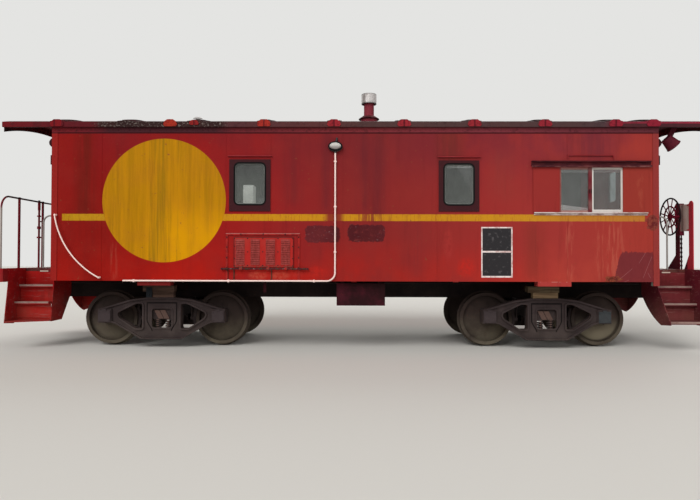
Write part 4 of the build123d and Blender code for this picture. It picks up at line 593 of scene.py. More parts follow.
def brakePaint():
    # The near post painted as lit, the far post and gear case in painted shade, the canister bare and dusty
    finish = Finish("brakePaint")
    base = finish.mix(finish.rise(finish.y, *brakeLook["nearPost"]), "571527", "C23A46")
    base = finish.lay(base, "8E8078", finish.band(finish.y, *brakeLook["canisterY"]),
                      finish.band(finish.z, *brakeLook["canisterZ"]),
                      finish.rise(finish.x, *brakeLook["canisterX"]))
    base = finish.lay(base, "1C1718", finish.band(finish.y, *brakeLook["chainY"]),
                      finish.rise(finish.z, *brakeLook["chainTop"]),
                      finish.band(finish.x, *brakeLook["chainX"]))
    return painted(finish, base, 24.0, fade=0.2, fadeColour="8A3A40", rust=0.3)


brakeWheel = {"x": 5.151, "y": -0.668, "z": 2.095, "rim": (0.262, 0.274)}


def brakeWheelPaint():
    # A black rim on dark red spokes
    finish = Finish("brakeWheelPaint")
    reach = finish.away(finish.calc("SUBTRACT", finish.y, brakeWheel["y"]),
                        finish.calc("SUBTRACT", finish.z, brakeWheel["z"]))
    base = finish.mix(finish.rise(reach, *brakeWheel["rim"]), "641024", "181416")
    return painted(finish, base, 36.0, 0.2, fade=0.2, fadeColour="7A2434", rust=0.2)


railing = {"top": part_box("end_railing_left")[1].z, "topRail": (0.045, 0.035), "bareX": (-5.0, -5.1),
           "bareY": (-1.30, -1.36), "bareZ": (2.22, 2.12)}


def railPaint():
    # Red posts under a top rail in painted shade, whose left-hand near end is bare and pale
    finish = Finish("railPaint")
    low, high = [railing["top"] - below for below in railing["topRail"]]
    base = finish.mix(finish.rise(finish.z, low, high), "6A1620", "2A1C1E")
    base = finish.lay(base, "A09890", finish.rise(finish.x, *railing["bareX"]),
                      finish.rise(finish.y, *railing["bareY"]), finish.rise(finish.z, *railing["bareZ"]))
    return painted(finish, base, 35.0, fade=0.2, fadeColour="7A2A30", rust=0.4)


lampLook = {"dome": (-0.280, 3.090, 0.088, 0.050), "silver": (3.060, 3.115)}


def lampPaint():
    # A silver dome, lighter at its top as a painted highlight, in a black rim, on a black stub
    finish = Finish("lampPaint", gloss=0.5)
    dome = finish.both(finish.spot(*lampLook["dome"], 0.06), finish.nearSide())
    silver = finish.mix(finish.rise(finish.z, *lampLook["silver"]), "8C8480", "D0CCC6")
    colour = finish.mix(dome, "1B1819", silver)
    return finish.done(colour, finish.calc("SUBTRACT", 0.6, finish.both(dome, 0.25)))


sashLook = {"meet": (3.574, 3.578), "leftGlazing": ((3.52, 3.515), (3.10, 3.12)), "stile": (3.512, 3.576)}


def sliderPaint():
    # The left-hand sash is faded red and the right-hand one is white
    finish = Finish("sliderPaint")
    base = finish.mix(finish.rise(finish.x, *sashLook["meet"]), "7E322F", "D2CCC6")
    glazing = [finish.rise(finish.x, *edge) for edge in sashLook["leftGlazing"]]
    base = finish.lay(base, "B88C84", *glazing, 0.6)
    base = finish.lay(base, "6A2028", finish.band(finish.x, *sashLook["stile"], 0.002))
    return painted(finish, base, 14.0, 0.2, fade=0.2, fadeColour="B9A8A0", streak=0.2, streakColour="8A7068",
                   rust=0.2)


trackLook = {"lip": (2.800, 2.792), "ledge": (2.40, 2.30), "rustLine": (2.070, 2.082), "gutter": (2.89, 2.90),
             "gutterEnds": ((3.262, 3.242), (3.850, 3.870))}


def trackPaint():
    # Dark track with a pale lip that is a painted highlight, and a chalky ledge below with rust along its
    # middle
    finish = Finish("trackPaint")
    ragged = finish.noise(16.0, stretch=(0.3, 1, 1), detail=6, rough=0.7, shift=3.0)
    base = finish.mix(finish.rise(ragged, 0.40, 0.66), "3E1A20", "5C262A")
    base = finish.lay(base, "946660", finish.rise(finish.z, *trackLook["lip"]),
                      finish.rise(ragged, 0.44, 0.60), 0.4)
    chalk = finish.mix(finish.rise(ragged, 0.44, 0.62), "D6CAC6", "A88880")
    chalk = finish.lay(chalk, "5E3228", finish.band(finish.z, *trackLook["rustLine"], 0.003),
                       finish.rise(ragged, 0.38, 0.50), 0.85)
    base = finish.lay(base, chalk, finish.rise(finish.z, *trackLook["ledge"]))
    ends = finish.either(*[finish.rise(finish.x, *end) for end in trackLook["gutterEnds"]])
    base = finish.lay(base, finish.mix(ends, "984044", "3E181E"), finish.rise(finish.z, *trackLook["gutter"]))
    return painted(finish, base, 9.0, 0.3, fade=0.05, streak=0.1, rust=0.2)


shutterLook = {"meet": (3.4, 3.7), "chalk": (4.23, 4.36)}


def shutterPaint():
    finish = Finish("shutterPaint")
    base = finish.mix(finish.rise(finish.x, *shutterLook["meet"]), "942F2C", "94352C")
    uneven = finish.noise(12.0, stretch=(1, 1, 0.3), detail=5, shift=4.0)
    base = finish.lay(base, "AC5440", finish.band(finish.x, *shutterLook["chalk"], 0.04),
                      finish.rise(uneven, 0.48, 0.62), 0.3)
    return painted(finish, base, 8.0, fade=0.15, fadeColour="8E3430", streak=0.2, rust=0.2)


louverLook = {
    "first": -1.708, "pitch": 0.228, "columnHalf": (0.073, 0.065), "column": (1.300, 1.690),
    "edgesX": ((-1.786, -1.792), (-0.917, -0.911)), "topEdge": (1.706, 1.712), "foot": (1.300, 1.275),
}


def louverRed():
    # Louvre columns chalked to greyish pink between bands of bright red
    finish = Finish("louverRed")
    grime = finish.noise(34.0, stretch=(1, 1, 0.35), detail=5, rough=0.65, shift=7.0)
    pitch = louverLook["pitch"]
    fromFirst = finish.calc("SUBTRACT", finish.x, louverLook["first"] - pitch / 2)
    inRow = finish.apart(finish.calc("FLOORED_MODULO", fromFirst, pitch), pitch / 2)
    column = finish.both(finish.rise(inRow, *louverLook["columnHalf"]),
                         finish.band(finish.z, *louverLook["column"], 0.006))
    base = finish.lay("AE2824", finish.mix(finish.rise(grime, 0.4, 0.62), "A04440", "8E3632"), column)
    # Painted shade along the door's sides and top, where it meets the rim
    edge = finish.either(*[finish.rise(finish.x, *side) for side in louverLook["edgesX"]],
                         finish.rise(finish.z, *louverLook["topEdge"]))
    base = finish.lay(base, "4A1A1C", edge, 0.8)
    base = finish.lay(base, "5C4038", finish.rise(finish.z, *louverLook["foot"]),
                      finish.rise(grime, 0.40, 0.55), 0.8)
    return painted(finish, base, 7.0, fade=0.1, fadeColour="A4655A", streak=0.25, rust=0.3)


compartmentLook = {"topEdge": (1.768, 1.774), "rodY": (-1.448, -1.452), "rodZ": (1.30, 1.28)}


def compartmentPaint():
    # The rim round the louvred door: a pale top edge that is a painted highlight, red sides and a rusty rod
    finish = Finish("compartmentPaint")
    grime = finish.noise(20.0, detail=5, rough=0.65, shift=9.0)
    base = finish.mix(finish.rise(grime, 0.40, 0.64), "A82A26", "8A2422")
    base = finish.lay(base, "B87A74", finish.rise(finish.z, *compartmentLook["topEdge"]), 0.8)
    base = finish.lay(base, finish.mix(finish.rise(grime, 0.32, 0.46), "8A6A6C", "46262A"),
                      finish.rise(finish.y, *compartmentLook["rodY"]),
                      finish.rise(finish.z, *compartmentLook["rodZ"]))
    return painted(finish, base, 2.0, fade=0.15, streak=0.3, rust=0.4)


bolsterLook = {"endPlates": (1.24, 1.26), "topDashes": (1.048, 1.054)}


def bolsterPaint():
    # Dark beams whose bright red end plates show under the side sill
    finish = Finish("bolsterPaint")
    red = finish.mix(finish.rightEnd(), "721F1F", "AE3E3A")
    dashes = finish.rise(finish.noise(14.0, stretch=(1, 1, 0.1), detail=3, shift=2.0), 0.46, 0.54)
    red = finish.lay(red, "C48A80", finish.rise(finish.z, *bolsterLook["topDashes"]), dashes, 0.7)
    side = finish.calc("ABSOLUTE", finish.y)
    base = finish.lay("1F1819", red, finish.rise(side, *bolsterLook["endPlates"]))
    return painted(finish, base, 23.0, fade=0.1, streak=0.3, rust=0.3)


deckLook = {"inner": (4.62, 4.60), "edge": (1.416, 1.420), "edgeZ": (1.196, 1.212)}


def deckPaint():
    # Decks worn to brown, with a pale dashed line along their outer edges
    finish = Finish("deckPaint")
    grime = finish.noise(10.0, detail=6, rough=0.7, shift=5.0)
    reach = finish.calc("ABSOLUTE", finish.x)
    innerHigh, innerLow = deckLook["inner"]
    base = finish.mix(finish.rise(grime, 0.38, 0.62), "5E3A34", "4A2424")
    base = finish.lay(base, "5A2024", finish.rise(reach, innerHigh, innerLow))
    dashes = finish.rise(finish.noise(11.0, stretch=(1, 0.01, 0.01), detail=1, shift=7.0), 0.34, 0.40)
    base = finish.lay(base, "CDBBAE", finish.rise(finish.calc("ABSOLUTE", finish.y), *deckLook["edge"]),
                      finish.band(finish.z, *deckLook["edgeZ"], 0.002), dashes,
                      finish.rise(reach, innerLow, innerHigh), 0.8)
    return painted(finish, base, 17.0, 0.3, fade=0.1, rust=0.4)


def stepPaint(name, left, right):
    # Steps: bright red at the left end, dark maroon at the right partly in painted shade, scuffed along faint
    # level lines
    finish = Finish(name)
    base = finish.mix(finish.rightEnd(), left, right)
    lines = finish.noise(30.0, stretch=(0.08, 0.4, 1), detail=4, rough=0.7, shift=4.0)
    base = finish.lay(base, "9A6A66", finish.rise(lines, 0.56, 0.66), 0.45)
    base = finish.lay(base, "2C1516", finish.rise(finish.noise(4.0, detail=5, shift=9.0), 0.46, 0.66), 0.3)
    return painted(finish, base, 10.0, 0.3, fade=0.1, rust=0.35, dust=0.3, dustLow=0.4, dustHigh=1.1)


# Plain paints and metals: colour, the seed of the weather, and where the weather is not the usual one
plainFinishes = {
    "endWallPaint": dict(colour="8E2020", seed=3.0, streak=0.4, rust=0.35),
    "dripRed": dict(colour="8E2C30", seed=4.0, fade=0.4, fadeColour="A84248", rust=0.3),
    "darkMaroon": dict(colour="34161B", seed=5.0, fade=0.2, fadeColour="542228", rust=0.4),
    "lampMaroon": dict(colour="4A1622", seed=25.0, fadeColour="7A2C3A", rust=0.2),
    "plateMaroon": dict(colour="3E1D21", seed=6.0, fade=0.2, fadeColour="54262A", streak=0.25, rust=0.15),
    "doorPaint": dict(colour="862220", seed=13.0, rust=0.3),
    "whitePaint": dict(colour="FFE4DC", seed=14.0, fadeColour="F0D6CE", streak=0.2, streakColour="B49C96",
                       rust=0.12),
    "cupboardWhite": dict(colour="E6E6E0", seed=27.0, fade=0.2, fadeColour="D8D8D0", streak=0.1, rust=0.0),
    "cupboardGrey": dict(colour="8A8E8A", seed=37.0, fade=0.2, fadeColour="A4A8A4", streak=0.1, rust=0.0),
    "greyPaint": dict(colour="A29E99", seed=15.0, fadeColour="8A8780", streak=0.4, streakColour="5F5A53",
                      rust=0.3),
    "blackIron": dict(colour="181517", seed=26.0, fade=0.2, fadeColour="34161C", streak=0.1, rust=0.1),
    "underframePaint": dict(colour="1F1819", seed=16.0, fadeColour="352A29", streakColour="120E0F", rust=0.25,
                            dust=0.3, dustLow=0.5, dustColour="453C36"),
    "sashGrey": dict(colour="6E726E", seed=33.0, fadeColour="8A8C88", streakColour="4A4C4A", rust=0.1),
    "spokeRed": dict(colour="641024", seed=34.0, fadeColour="6A2430", rust=0.3),
    "boxPaint": dict(colour="2C1417", seed=28.0, fade=0.6, fadeColour="5A1E2C", streakColour="140E0F",
                     rust=0.3),
    "sillRed": dict(colour="3A1618", seed=17.0, fade=0.2, rust=0.4, dust=0.2, dustLow=0.9),
    "rubber": dict(colour="141314", seed=19.0, fadeColour="242222", streakColour="0C0C0C", rust=0.0,
                   roughness=0.7),
    "boltSteel": dict(colour="3E2426", seed=20.0, fade=0.2, fadeColour="6A4A44", rust=0.5, roughness=0.6),
    "rustySteel": dict(colour="4C3029", seed=29.0, fade=0.5, fadeColour="6A4436", rust=0.8, roughness=0.8),
    "darkSteel": dict(colour="23262A", seed=30.0, fadeColour="3A3A3C", streakColour="141416", rust=0.2),
    "wornEdge": dict(colour="9A8078", seed=22.0, fade=0.5, fadeColour="6A4844", streakColour="5A3A34",
                     rust=0.4),
    "sashWhite": dict(colour="DCD6D0", seed=32.0, fade=0.2, fadeColour="C4B4AC", streak=0.1, rust=0.1),
}
finishes = {name: painted(Finish(name), **look) for name, look in plainFinishes.items()}
for made in (wallPaint(), roofPaint(), compartmentPaint(), louverRed(), shutterPaint(), trackPaint(),
             sliderPaint(), stepPaint("stepPaint", "9A1418", "66202C"),
             stepPaint("riserPaint", "A61A18", "742A30"), beamPaint(), brakePaint(), brakeWheelPaint(),
             lampPaint(), railPaint(), stackPaint(), galvanizedSheet(),
             pane("windowPane", "969B97", "A9AEAB", 0.95, 0.88),
             pane("doorPane", "C8D2D6", "DCE4E8", 0.0, 0.95), wheelSteel(), castSteel(), blockWood(),
             floorBoards(), bolsterPaint(), deckPaint()):
    finishes[made.name] = made
print("stage: finishes made,", len(finishes))

# The finish of every CAD node
truckEnds = ("left", "right")
nodeFinishes = {
    "wallPaint": ["side_wall_near", "side_wall_far"],
    "endWallPaint": ["end_wall_left", "end_wall_right"],
    "roofPaint": ["roof"],
    "galvanizedSheet": ["stack_cap", "roof_vent"],
    "compartmentPaint": ["battery_box"],
    "dripRed": ["drip_rails"],
    "louverRed": ["louver_door"],
    "plateMaroon": ["window_frames"],
    "shutterPaint": ["slider_shutters"],
    "trackPaint": ["slider_rails"],
    "sliderPaint": ["slider_frames"],
    "whitePaint": ["wall_conduit", "grab_rails"],
    "cupboardGrey": ["cabinet"],
    "darkMaroon": ["end_fittings"],
    "railPaint": ["end_railing_left", "end_railing_right"],
    "lampMaroon": ["end_lamp"],
    "brakePaint": ["brake_stand"],
    "brakeWheelPaint": ["brake_wheel"],
    "stepPaint": ["step_sides", "step_treads"],
    "riserPaint": ["step_risers"],
    "beamPaint": ["end_beams"],
    "doorPaint": ["end_door_left", "end_door_right"],
    "greyPaint": ["hand_rails"],
    "lampPaint": ["side_lamp"],
    "sillRed": ["side_sills"],
    "deckPaint": ["platform_decks"],
    "underframePaint": ["center_sill", "brake_pipe", "brake_cylinder", "air_reservoir"],
    "boxPaint": ["underfloor_box"],
    "bolsterPaint": ["cross_members"],
    "stackPaint": ["smoke_stack"],
    "windowPane": ["window_glass"],
    "doorPane": ["end_door_glass_left", "end_door_glass_right"],
    "wheelSteel": [f"wheelset_{end}_{place}" for end in truckEnds for place in ("inner", "outer")],
    "castSteel": ["couplers"] + [f"truck_{end}_{part}" for end in truckEnds
                                 for part in ("side_frames", "bolster", "springs", "brake_beams")],
    "blockWood": ["truck_left_blocks", "truck_right_blocks"],
    "floorBoards": ["floor"],
}
for finishName, names in nodeFinishes.items():
    for name in names:
        for spot in nodes[name].material_slots:
            spot.material = finishes[finishName]
left = set(nodes) - {name for names in nodeFinishes.values() for name in names}
print("stage: CAD nodes painted; without a finish:", sorted(left))


# Small solids that the details are made of, added to one mesh per piece
def putBox(mesh, first, second):
    # A box between two opposite corners, in whichever order they are given
    xs, ys, zs = [sorted(pair) for pair in zip(first, second)]
    corners = [mesh.verts.new((x, y, z)) for x in xs for y in ys for z in zs]
    for ring in ((0, 1, 3, 2), (4, 6, 7, 5), (0, 4, 5, 1), (2, 3, 7, 6), (0, 2, 6, 4), (1, 5, 7, 3)):
        mesh.faces.new([corners[number] for number in ring])


def turned(facing):
    return Vector(facing).to_track_quat("Z", "Y").to_matrix().to_4x4()


def around(steps):
    # The cosine and sine of each step of one full turn
    turns = [2 * math.pi * step / steps for step in range(steps)]
    return [(math.cos(turn), math.sin(turn)) for turn in turns]


def putLathe(mesh, base, facing, profile, sides=12):
    # A turned form: profile holds (radius, height) from the foot up, and closes at the axis
    place = Matrix.Translation(Vector(base)) @ turned(facing)
    rings = []
    for radius, height in profile:
        if radius < 1e-6:
            rings.append([mesh.verts.new(place @ Vector((0, 0, height)))])
            continue
        rings.append([mesh.verts.new(place @ Vector((radius * across, radius * upward, height)))
                      for across, upward in around(sides)])
    for lower, upper in zip(rings, rings[1:]):
        for step in range(sides):
            after = (step + 1) % sides
            if len(lower) == 1:
                mesh.faces.new((lower[0], upper[step], upper[after]))
            elif len(upper) == 1:
                mesh.faces.new((lower[step], lower[after], upper[0]))
            else:
                mesh.faces.new((lower[step], lower[after], upper[after], upper[step]))
    if len(rings[0]) > 1:
        mesh.faces.new(list(reversed(rings[0])))


# Outlines of small heads, as shares of their radius and height
domeForm = ((1, 0), (0.82, 0.62), (0.42, 0.94), (0, 1))
washerForm = ((1.35, 0), (1.35, 0.25), (0, 0.25))
boltForm = ((1, 0), (1, 0.85), (0.85, 1), (0, 1))


def putForm(mesh, base, facing, form, radius, high, sides):
    putLathe(mesh, base, facing, [(radius * out, high * up) for out, up in form], sides)


def putDome(mesh, base, facing, radius, high, sides=6):
    putForm(mesh, base, facing, domeForm, radius, high, sides)


def putBolt(mesh, base, facing, radius, high):
    # A washer with a six-sided head on it
    putForm(mesh, base, facing, washerForm, radius, high, 12)
    putForm(mesh, base, facing, boltForm, radius, high, 6)


def putTube(mesh, points, radius, sides=8, closed=False):
    points = [Vector(point) for point in points]
    count = len(points)
    rings = []
    for number, point in enumerate(points):
        before = points[(number - 1) % count] if closed or number > 0 else point
        after = points[(number + 1) % count] if closed or number < count - 1 else point
        place = turned(after - before)
        rings.append([mesh.verts.new(point + place @ Vector((radius * across, radius * upward, 0)))
                      for across, upward in around(sides)])
    pairs = list(zip(rings, rings[1:])) + ([(rings[-1], rings[0])] if closed else [])
    for lower, upper in pairs:
        # The ring that follows starts at the corner nearest to this ring's own start
        turn = min(range(sides), key=lambda step: (upper[step].co - lower[0].co).length)
        for step in range(sides):
            after = (step + 1) % sides
            mesh.faces.new((lower[step], lower[after], upper[(after + turn) % sides],
                            upper[(step + turn) % sides]))
    if not closed:
        mesh.faces.new(list(reversed(rings[0])))
        mesh.faces.new(rings[-1])


sharpAngle = math.radians(38)


def piece(mesh, name, finishName, body):
    bmesh.ops.recalc_face_normals(mesh, faces=mesh.faces)
    for face in mesh.faces:
        face.smooth = True
    for edge in mesh.edges:
        edge.smooth = edge.calc_face_angle(0.0) < sharpAngle
    data = bpy.data.meshes.new(name)
    mesh.to_mesh(data)
    mesh.free()
    made = bpy.data.objects.new(name, data)
    bpy.context.scene.collection.objects.link(made)
    made.data.materials.append(finishes[finishName])
    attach(made, body)
    return made


def spaced(start, stop, pitch):
    count = max(1, round((stop - start) / pitch))
    return [start + (stop - start) * number / count for number in range(count + 1)]


# Rivets: along the eave band, up the corner strips, and in four rows along the wall's foot
rivets = {
    "band": {"z": 3.336, "pitch": 0.08, "radius": 0.011, "high": 0.005, "endGap": 0.05},
    "corner": {"x": 4.527, "low": 1.12, "top": 3.24, "pitch": 0.076, "radius": 0.008, "high": 0.004},
    "foot": {"from": -3.52, "to": -1.98, "z": 1.118, "pitch": 0.075, "radius": 0.007, "high": 0.0035},
    "fine": {"from": -3.54, "to": -1.96, "z": 1.088, "pitch": 0.034, "radius": 0.0045, "high": 0.0025},
    "right": {"from": 2.80, "to": 3.22, "z": 1.108, "pitch": 0.105, "radius": 0.009, "high": 0.005},
    "middle": {"from": 1.29, "to": 1.48, "z": 1.112, "pitch": 0.095, "radius": 0.008, "high": 0.004},
}
wallLow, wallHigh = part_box("side_wall_near")
bandFace = -wallLow.y
mesh = bmesh.new()
for side in (-1, 1):
    row = rivets["band"]
    for x in spaced(wallLow.x + row["endGap"], wallHigh.x - row["endGap"], row["pitch"]):
        putDome(mesh, (x, side * bandFace, row["z"]), (0, side, 0), row["radius"], row["high"], 8)
    row = rivets["corner"]
    for end in (-1, 1):
        for z in spaced(row["low"], row["top"], row["pitch"]):
            putDome(mesh, (end * row["x"], side * bandFace, z), (0, side, 0), row["radius"], row["high"])
    for name in ("foot", "fine", "right", "middle"):
        row = rivets[name]
        for x in spaced(row["from"], row["to"], row["pitch"]):
            putDome(mesh, (x, side * wall["face"], row["z"]), (0, side, 0), row["radius"], row["high"])
piece(mesh, "bodyRivets", "wallPaint", "car")

# Weld beads where the wall's sheets meet, broken where a fitting covers them
seams = {
    "wide": 0.009, "proud": 0.003, "sunk": 0.002, "low": 1.062, "high": 3.298,
    "places": ((-3.812, ()), (-1.932, ()), (-1.252, ((1.04, 1.79),)), (-0.165, ()), (1.253, ()),
               (3.207, ((2.05, 2.97),))),
}
mesh = bmesh.new()
half = seams["wide"] / 2
for side in (-1, 1):
    face = side * wall["face"]
    for x, breaks in seams["places"]:
        start = seams["low"]
        for stop, resume in (*breaks, (seams["high"], None)):
            if stop > start:
                putBox(mesh, (x - half, face - side * seams["sunk"], start),
                       (x + half, face + side * seams["proud"], stop))
            start = resume
piece(mesh, "wallSeams", "wallPaint", "car")

# Rivet rows across the roof on both flanges of each rib
roofRivets = {"ribs": 8, "radius": 5.1465, "middle": -1.4765, "over": 0.0118, "aside": 0.080, "reach": 1.40,
              "pitch": 0.085, "dome": 0.008, "high": 0.004}
mesh = bmesh.new()
onRoof = roofRivets["radius"] + roofRivets["over"]
for number in range(roofRivets["ribs"]):
    for aside in (-roofRivets["aside"], roofRivets["aside"]):
        x = roofLook["ribFirst"] + roofLook["ribPitch"] * number + aside
        for y in spaced(-roofRivets["reach"], roofRivets["reach"], roofRivets["pitch"]):
            upward = math.sqrt(onRoof ** 2 - y ** 2)
            putDome(mesh, (x, y, roofRivets["middle"] + upward), (0, y, upward), roofRivets["dome"],
                    roofRivets["high"])
piece(mesh, "roofRivets", "roofPaint", "car")
print("stage: rivets and seams")


# Plate windows: a wide rubber ring and a sash ring in each opening, and small bolts round the plate
plateWindows = {
    "openings": ((-1.801, -1.334, 2.210, 2.842), (1.354, 1.805, 2.210, 2.829)),
    "corner": 0.070, "cornerSteps": 5, "plateFace": 1.434,
    "ring": 0.011, "ringLift": 0.0045, "ringDeep": 0.022,
    "boltLine": 0.026, "boltPitch": 0.072, "boltRadius": 0.0065, "boltHigh": 0.004,
    "marginSide": 0.078, "marginLow": 0.100, "marginHigh": 0.052,
    "sash": 0.010, "sashInset": 0.013, "sashBack": 0.010,
}


def roundedRing(left, right, low, high, corner):
    steps = plateWindows["cornerSteps"]
    points = []
    for middleX, middleZ, start in ((right - corner, high - corner, 0), (left + corner, high - corner, 90),
                                    (left + corner, low + corner, 180), (right - corner, low + corner, 270)):
        for step in range(steps + 1):
            angle = math.radians(start + 90 * step / steps)
            points.append((middleX + corner * math.cos(angle), middleZ + corner * math.sin(angle)))
    return points


def putRing(mesh, outer, inner, front, back, side):
    # A flat ring with square edges between two outlines that have the same number of points
    loops = [[mesh.verts.new((x, side * y, z)) for x, z in outline]
             for outline, y in ((outer, back), (outer, front), (inner, front), (inner, back))]
    count = len(outer)
    for first, second in zip(loops, loops[1:] + loops[:1]):
        for number in range(count):
            after = (number + 1) % count
            mesh.faces.new((first[number], first[after], second[after], second[number]))


def putEdgeRing(mesh, opening, inset, half, front, side):
    # A ring along the edge of a window's opening, set in from it and as wide as twice its half
    left, right, low, high = opening
    outer, inner = [roundedRing(left + by, right - by, low + by, high - by, plateWindows["corner"] - by)
                    for by in (inset - half, inset + half)]
    putRing(mesh, outer, inner, front, plateWindows["plateFace"] - plateWindows["ringDeep"], side)


gaskets = bmesh.new()
sashes = bmesh.new()
bolts = bmesh.new()
face = plateWindows["plateFace"]
line = plateWindows["boltLine"]
for side in (-1, 1):
    for opening in plateWindows["openings"]:
        left, right, low, high = opening
        putEdgeRing(gaskets, opening, 0.0, plateWindows["ring"], face + plateWindows["ringLift"], side)
        putEdgeRing(sashes, opening, plateWindows["sashInset"], plateWindows["sash"],
                    face - plateWindows["sashBack"], side)
        outerLeft = left - plateWindows["marginSide"] + line
        outerRight = right + plateWindows["marginSide"] - line
        outerLow = low - plateWindows["marginLow"] + line
        outerHigh = high + plateWindows["marginHigh"] - line
        spots = [(x, z) for x in spaced(outerLeft, outerRight, plateWindows["boltPitch"])
                 for z in (outerLow, outerHigh)]
        spots += [(x, z) for z in spaced(outerLow, outerHigh, plateWindows["boltPitch"])[1:-1]
                  for x in (outerLeft, outerRight)]
        for x, z in spots:
            putDome(bolts, (x, side * face, z), (0, side, 0), plateWindows["boltRadius"],
                    plateWindows["boltHigh"])
piece(gaskets, "windowGaskets", "rubber", "car")
piece(sashes, "windowSashes", "sashGrey", "car")
piece(bolts, "windowBolts", "boltSteel", "car")

# Sliding windows: a white stile and bottom bar on the right-hand sash, and a dark pull on each
slider = {"stile": (3.579, 3.597), "right": 4.004, "low": 2.132, "high": 2.748, "bar": 0.012,
          "front": 1.419, "back": 1.412, "pulls": (3.536, 3.564), "pull": (0.012, 0.060), "pullFront": 1.425,
          "pullZ": 2.42}
mesh = bmesh.new()
left, right = slider["stile"]
for side in (-1, 1):
    front = side * slider["front"]
    back = side * slider["back"]
    putBox(mesh, (left, back, slider["low"]), (right, front, slider["high"]))
    putBox(mesh, (right, back, slider["low"]), (slider["right"], front, slider["low"] + slider["bar"]))
piece(mesh, "sliderStiles", "sashWhite", "car")
mesh = bmesh.new()
wide, tall = slider["pull"]
for side in (-1, 1):
    for x in slider["pulls"]:
        putBox(mesh, (x - wide / 2, side * slider["front"], slider["pullZ"] - tall / 2),
               (x + wide / 2, side * slider["pullFront"], slider["pullZ"] + tall / 2))
piece(mesh, "sliderPulls", "rubber", "car")

# The tall white cupboard seen through the left-hand plate window
cupboard = {"low": (-2.118, 0.865, 1.245), "high": (-1.925, 1.150, 2.804), "glow": 0.5,
            "glowColour": "E6E6E0"}
mesh = bmesh.new()
putBox(mesh, cupboard["low"], cupboard["high"])
piece(mesh, "tallCupboard", "cupboardWhite", "car")
# Painted light: the cupboard glows a little, so that it shows bright through the pane
cupboardShader = finishes["cupboardWhite"].node_tree.nodes["Principled BSDF"]
cupboardShader.inputs["Emission Color"].default_value = shade(cupboard["glowColour"])
cupboardShader.inputs["Emission Strength"].default_value = cupboard["glow"]
print("stage: window trim")


# Battery door: bolts round the rim, bolts on the door, rusty collars on the rod and short feet under it
batteryTrim = {
    "rimFace": 1.436, "rimBolt": (0.008, 0.006),
    "rimBolts": [(x, z) for x in (-1.909, -0.828) for z in (1.26, 1.41, 1.57, 1.72)]
                + [(x, 1.765) for x in (-1.70, -1.36, -1.03)],
    "doorFace": 1.443, "doorBolt": (0.007, 0.005),
    "doorBolts": [(x, z) for x in (-1.594, -1.366, -1.138) for z in (1.296, 1.50, 1.700)]
                 + [(x, z) for x in (-1.793, -0.916) for z in (1.29, 1.40, 1.58, 1.70)],
    "rod": (1.464, 1.245, 0.011),
    # Collars: middle and length, then how far they stand out at shares of that length
    "collars": ((-1.90, 0.05), (-1.60, 0.06), (-1.39, 0.05), (-1.14, 0.04), (-0.90, 0.06), (-0.74, 0.04)),
    "collarEdge": (0.005, 0.004), "collarForm": ((0.007, 0.3), (0.004, 0.6), (0.006, 0.9)),
    "feet": ((-1.895, 1.075), (-1.800, 1.080), (-1.235, 1.078)), "foot": 0.016, "footOut": 0.010,
    "footIn": 0.002, "footTop": 0.020, "ledge": (0.026, 0.014), "footBolt": (0.008, 0.006), "boltUp": 0.018,
}
mesh = bmesh.new()
for x, z in batteryTrim["rimBolts"]:
    putBolt(mesh, (x, -batteryTrim["rimFace"], z), (0, -1, 0), *batteryTrim["rimBolt"])
piece(mesh, "batteryRimBolts", "boltSteel", "car")
mesh = bmesh.new()
for x, z in batteryTrim["doorBolts"]:
    putBolt(mesh, (x, -batteryTrim["doorFace"], z), (0, -1, 0), *batteryTrim["doorBolt"])
piece(mesh, "louverDoorBolts", "boltSteel", "louver_door")
mesh = bmesh.new()
rodY, rodZ, rodRadius = batteryTrim["rod"]
edgeOut, edgeLong = batteryTrim["collarEdge"]
for x, long in batteryTrim["collars"]:
    profile = [(rodRadius, 0), (rodRadius + edgeOut, edgeLong)]
    profile += [(rodRadius + out, long * share) for out, share in batteryTrim["collarForm"]]
    profile += [(rodRadius, long), (0, long)]
    putLathe(mesh, (x - long / 2, -rodY, rodZ), (1, 0, 0), profile, 10)
half = batteryTrim["foot"] / 2
front = -wall["face"] - batteryTrim["footOut"]
back = -wall["face"] + batteryTrim["footIn"]
ledgeLow, ledgeHigh = batteryTrim["ledge"]
for x, z in batteryTrim["feet"]:
    putBox(mesh, (x - half, front, z), (x + half, back, rodZ - batteryTrim["footTop"]))
    putBox(mesh, (x - half, -rodY, rodZ - ledgeLow), (x + half, back, rodZ - ledgeHigh))
    putBolt(mesh, (x, front, z + batteryTrim["boltUp"]), (0, -1, 0), *batteryTrim["footBolt"])
piece(mesh, "rodCollars", "rustySteel", "car")
print("stage: battery door trim")


# Side lamp: an oval black rim with three clamp bolts round its dome
sideLamp = {"x": -0.280, "z": 3.088, "wide": 0.097, "high": 0.061, "y": 1.478, "tube": 0.010, "steps": 32,
            "clamps": (4, 12, 24), "clampOut": 0.008, "clamp": (0.006, 0.005)}
mesh = bmesh.new()
oval = [(sideLamp["x"] + sideLamp["wide"] * across, -sideLamp["y"], sideLamp["z"] + sideLamp["high"] * upward)
        for across, upward in around(sideLamp["steps"])]
putTube(mesh, oval, sideLamp["tube"], closed=True)
for step in sideLamp["clamps"]:
    x, y, z = oval[step]
    putBolt(mesh, (x, y - sideLamp["clampOut"], z), (0, -1, 0), *sideLamp["clamp"])
piece(mesh, "sideLampRim", "rubber", "car")

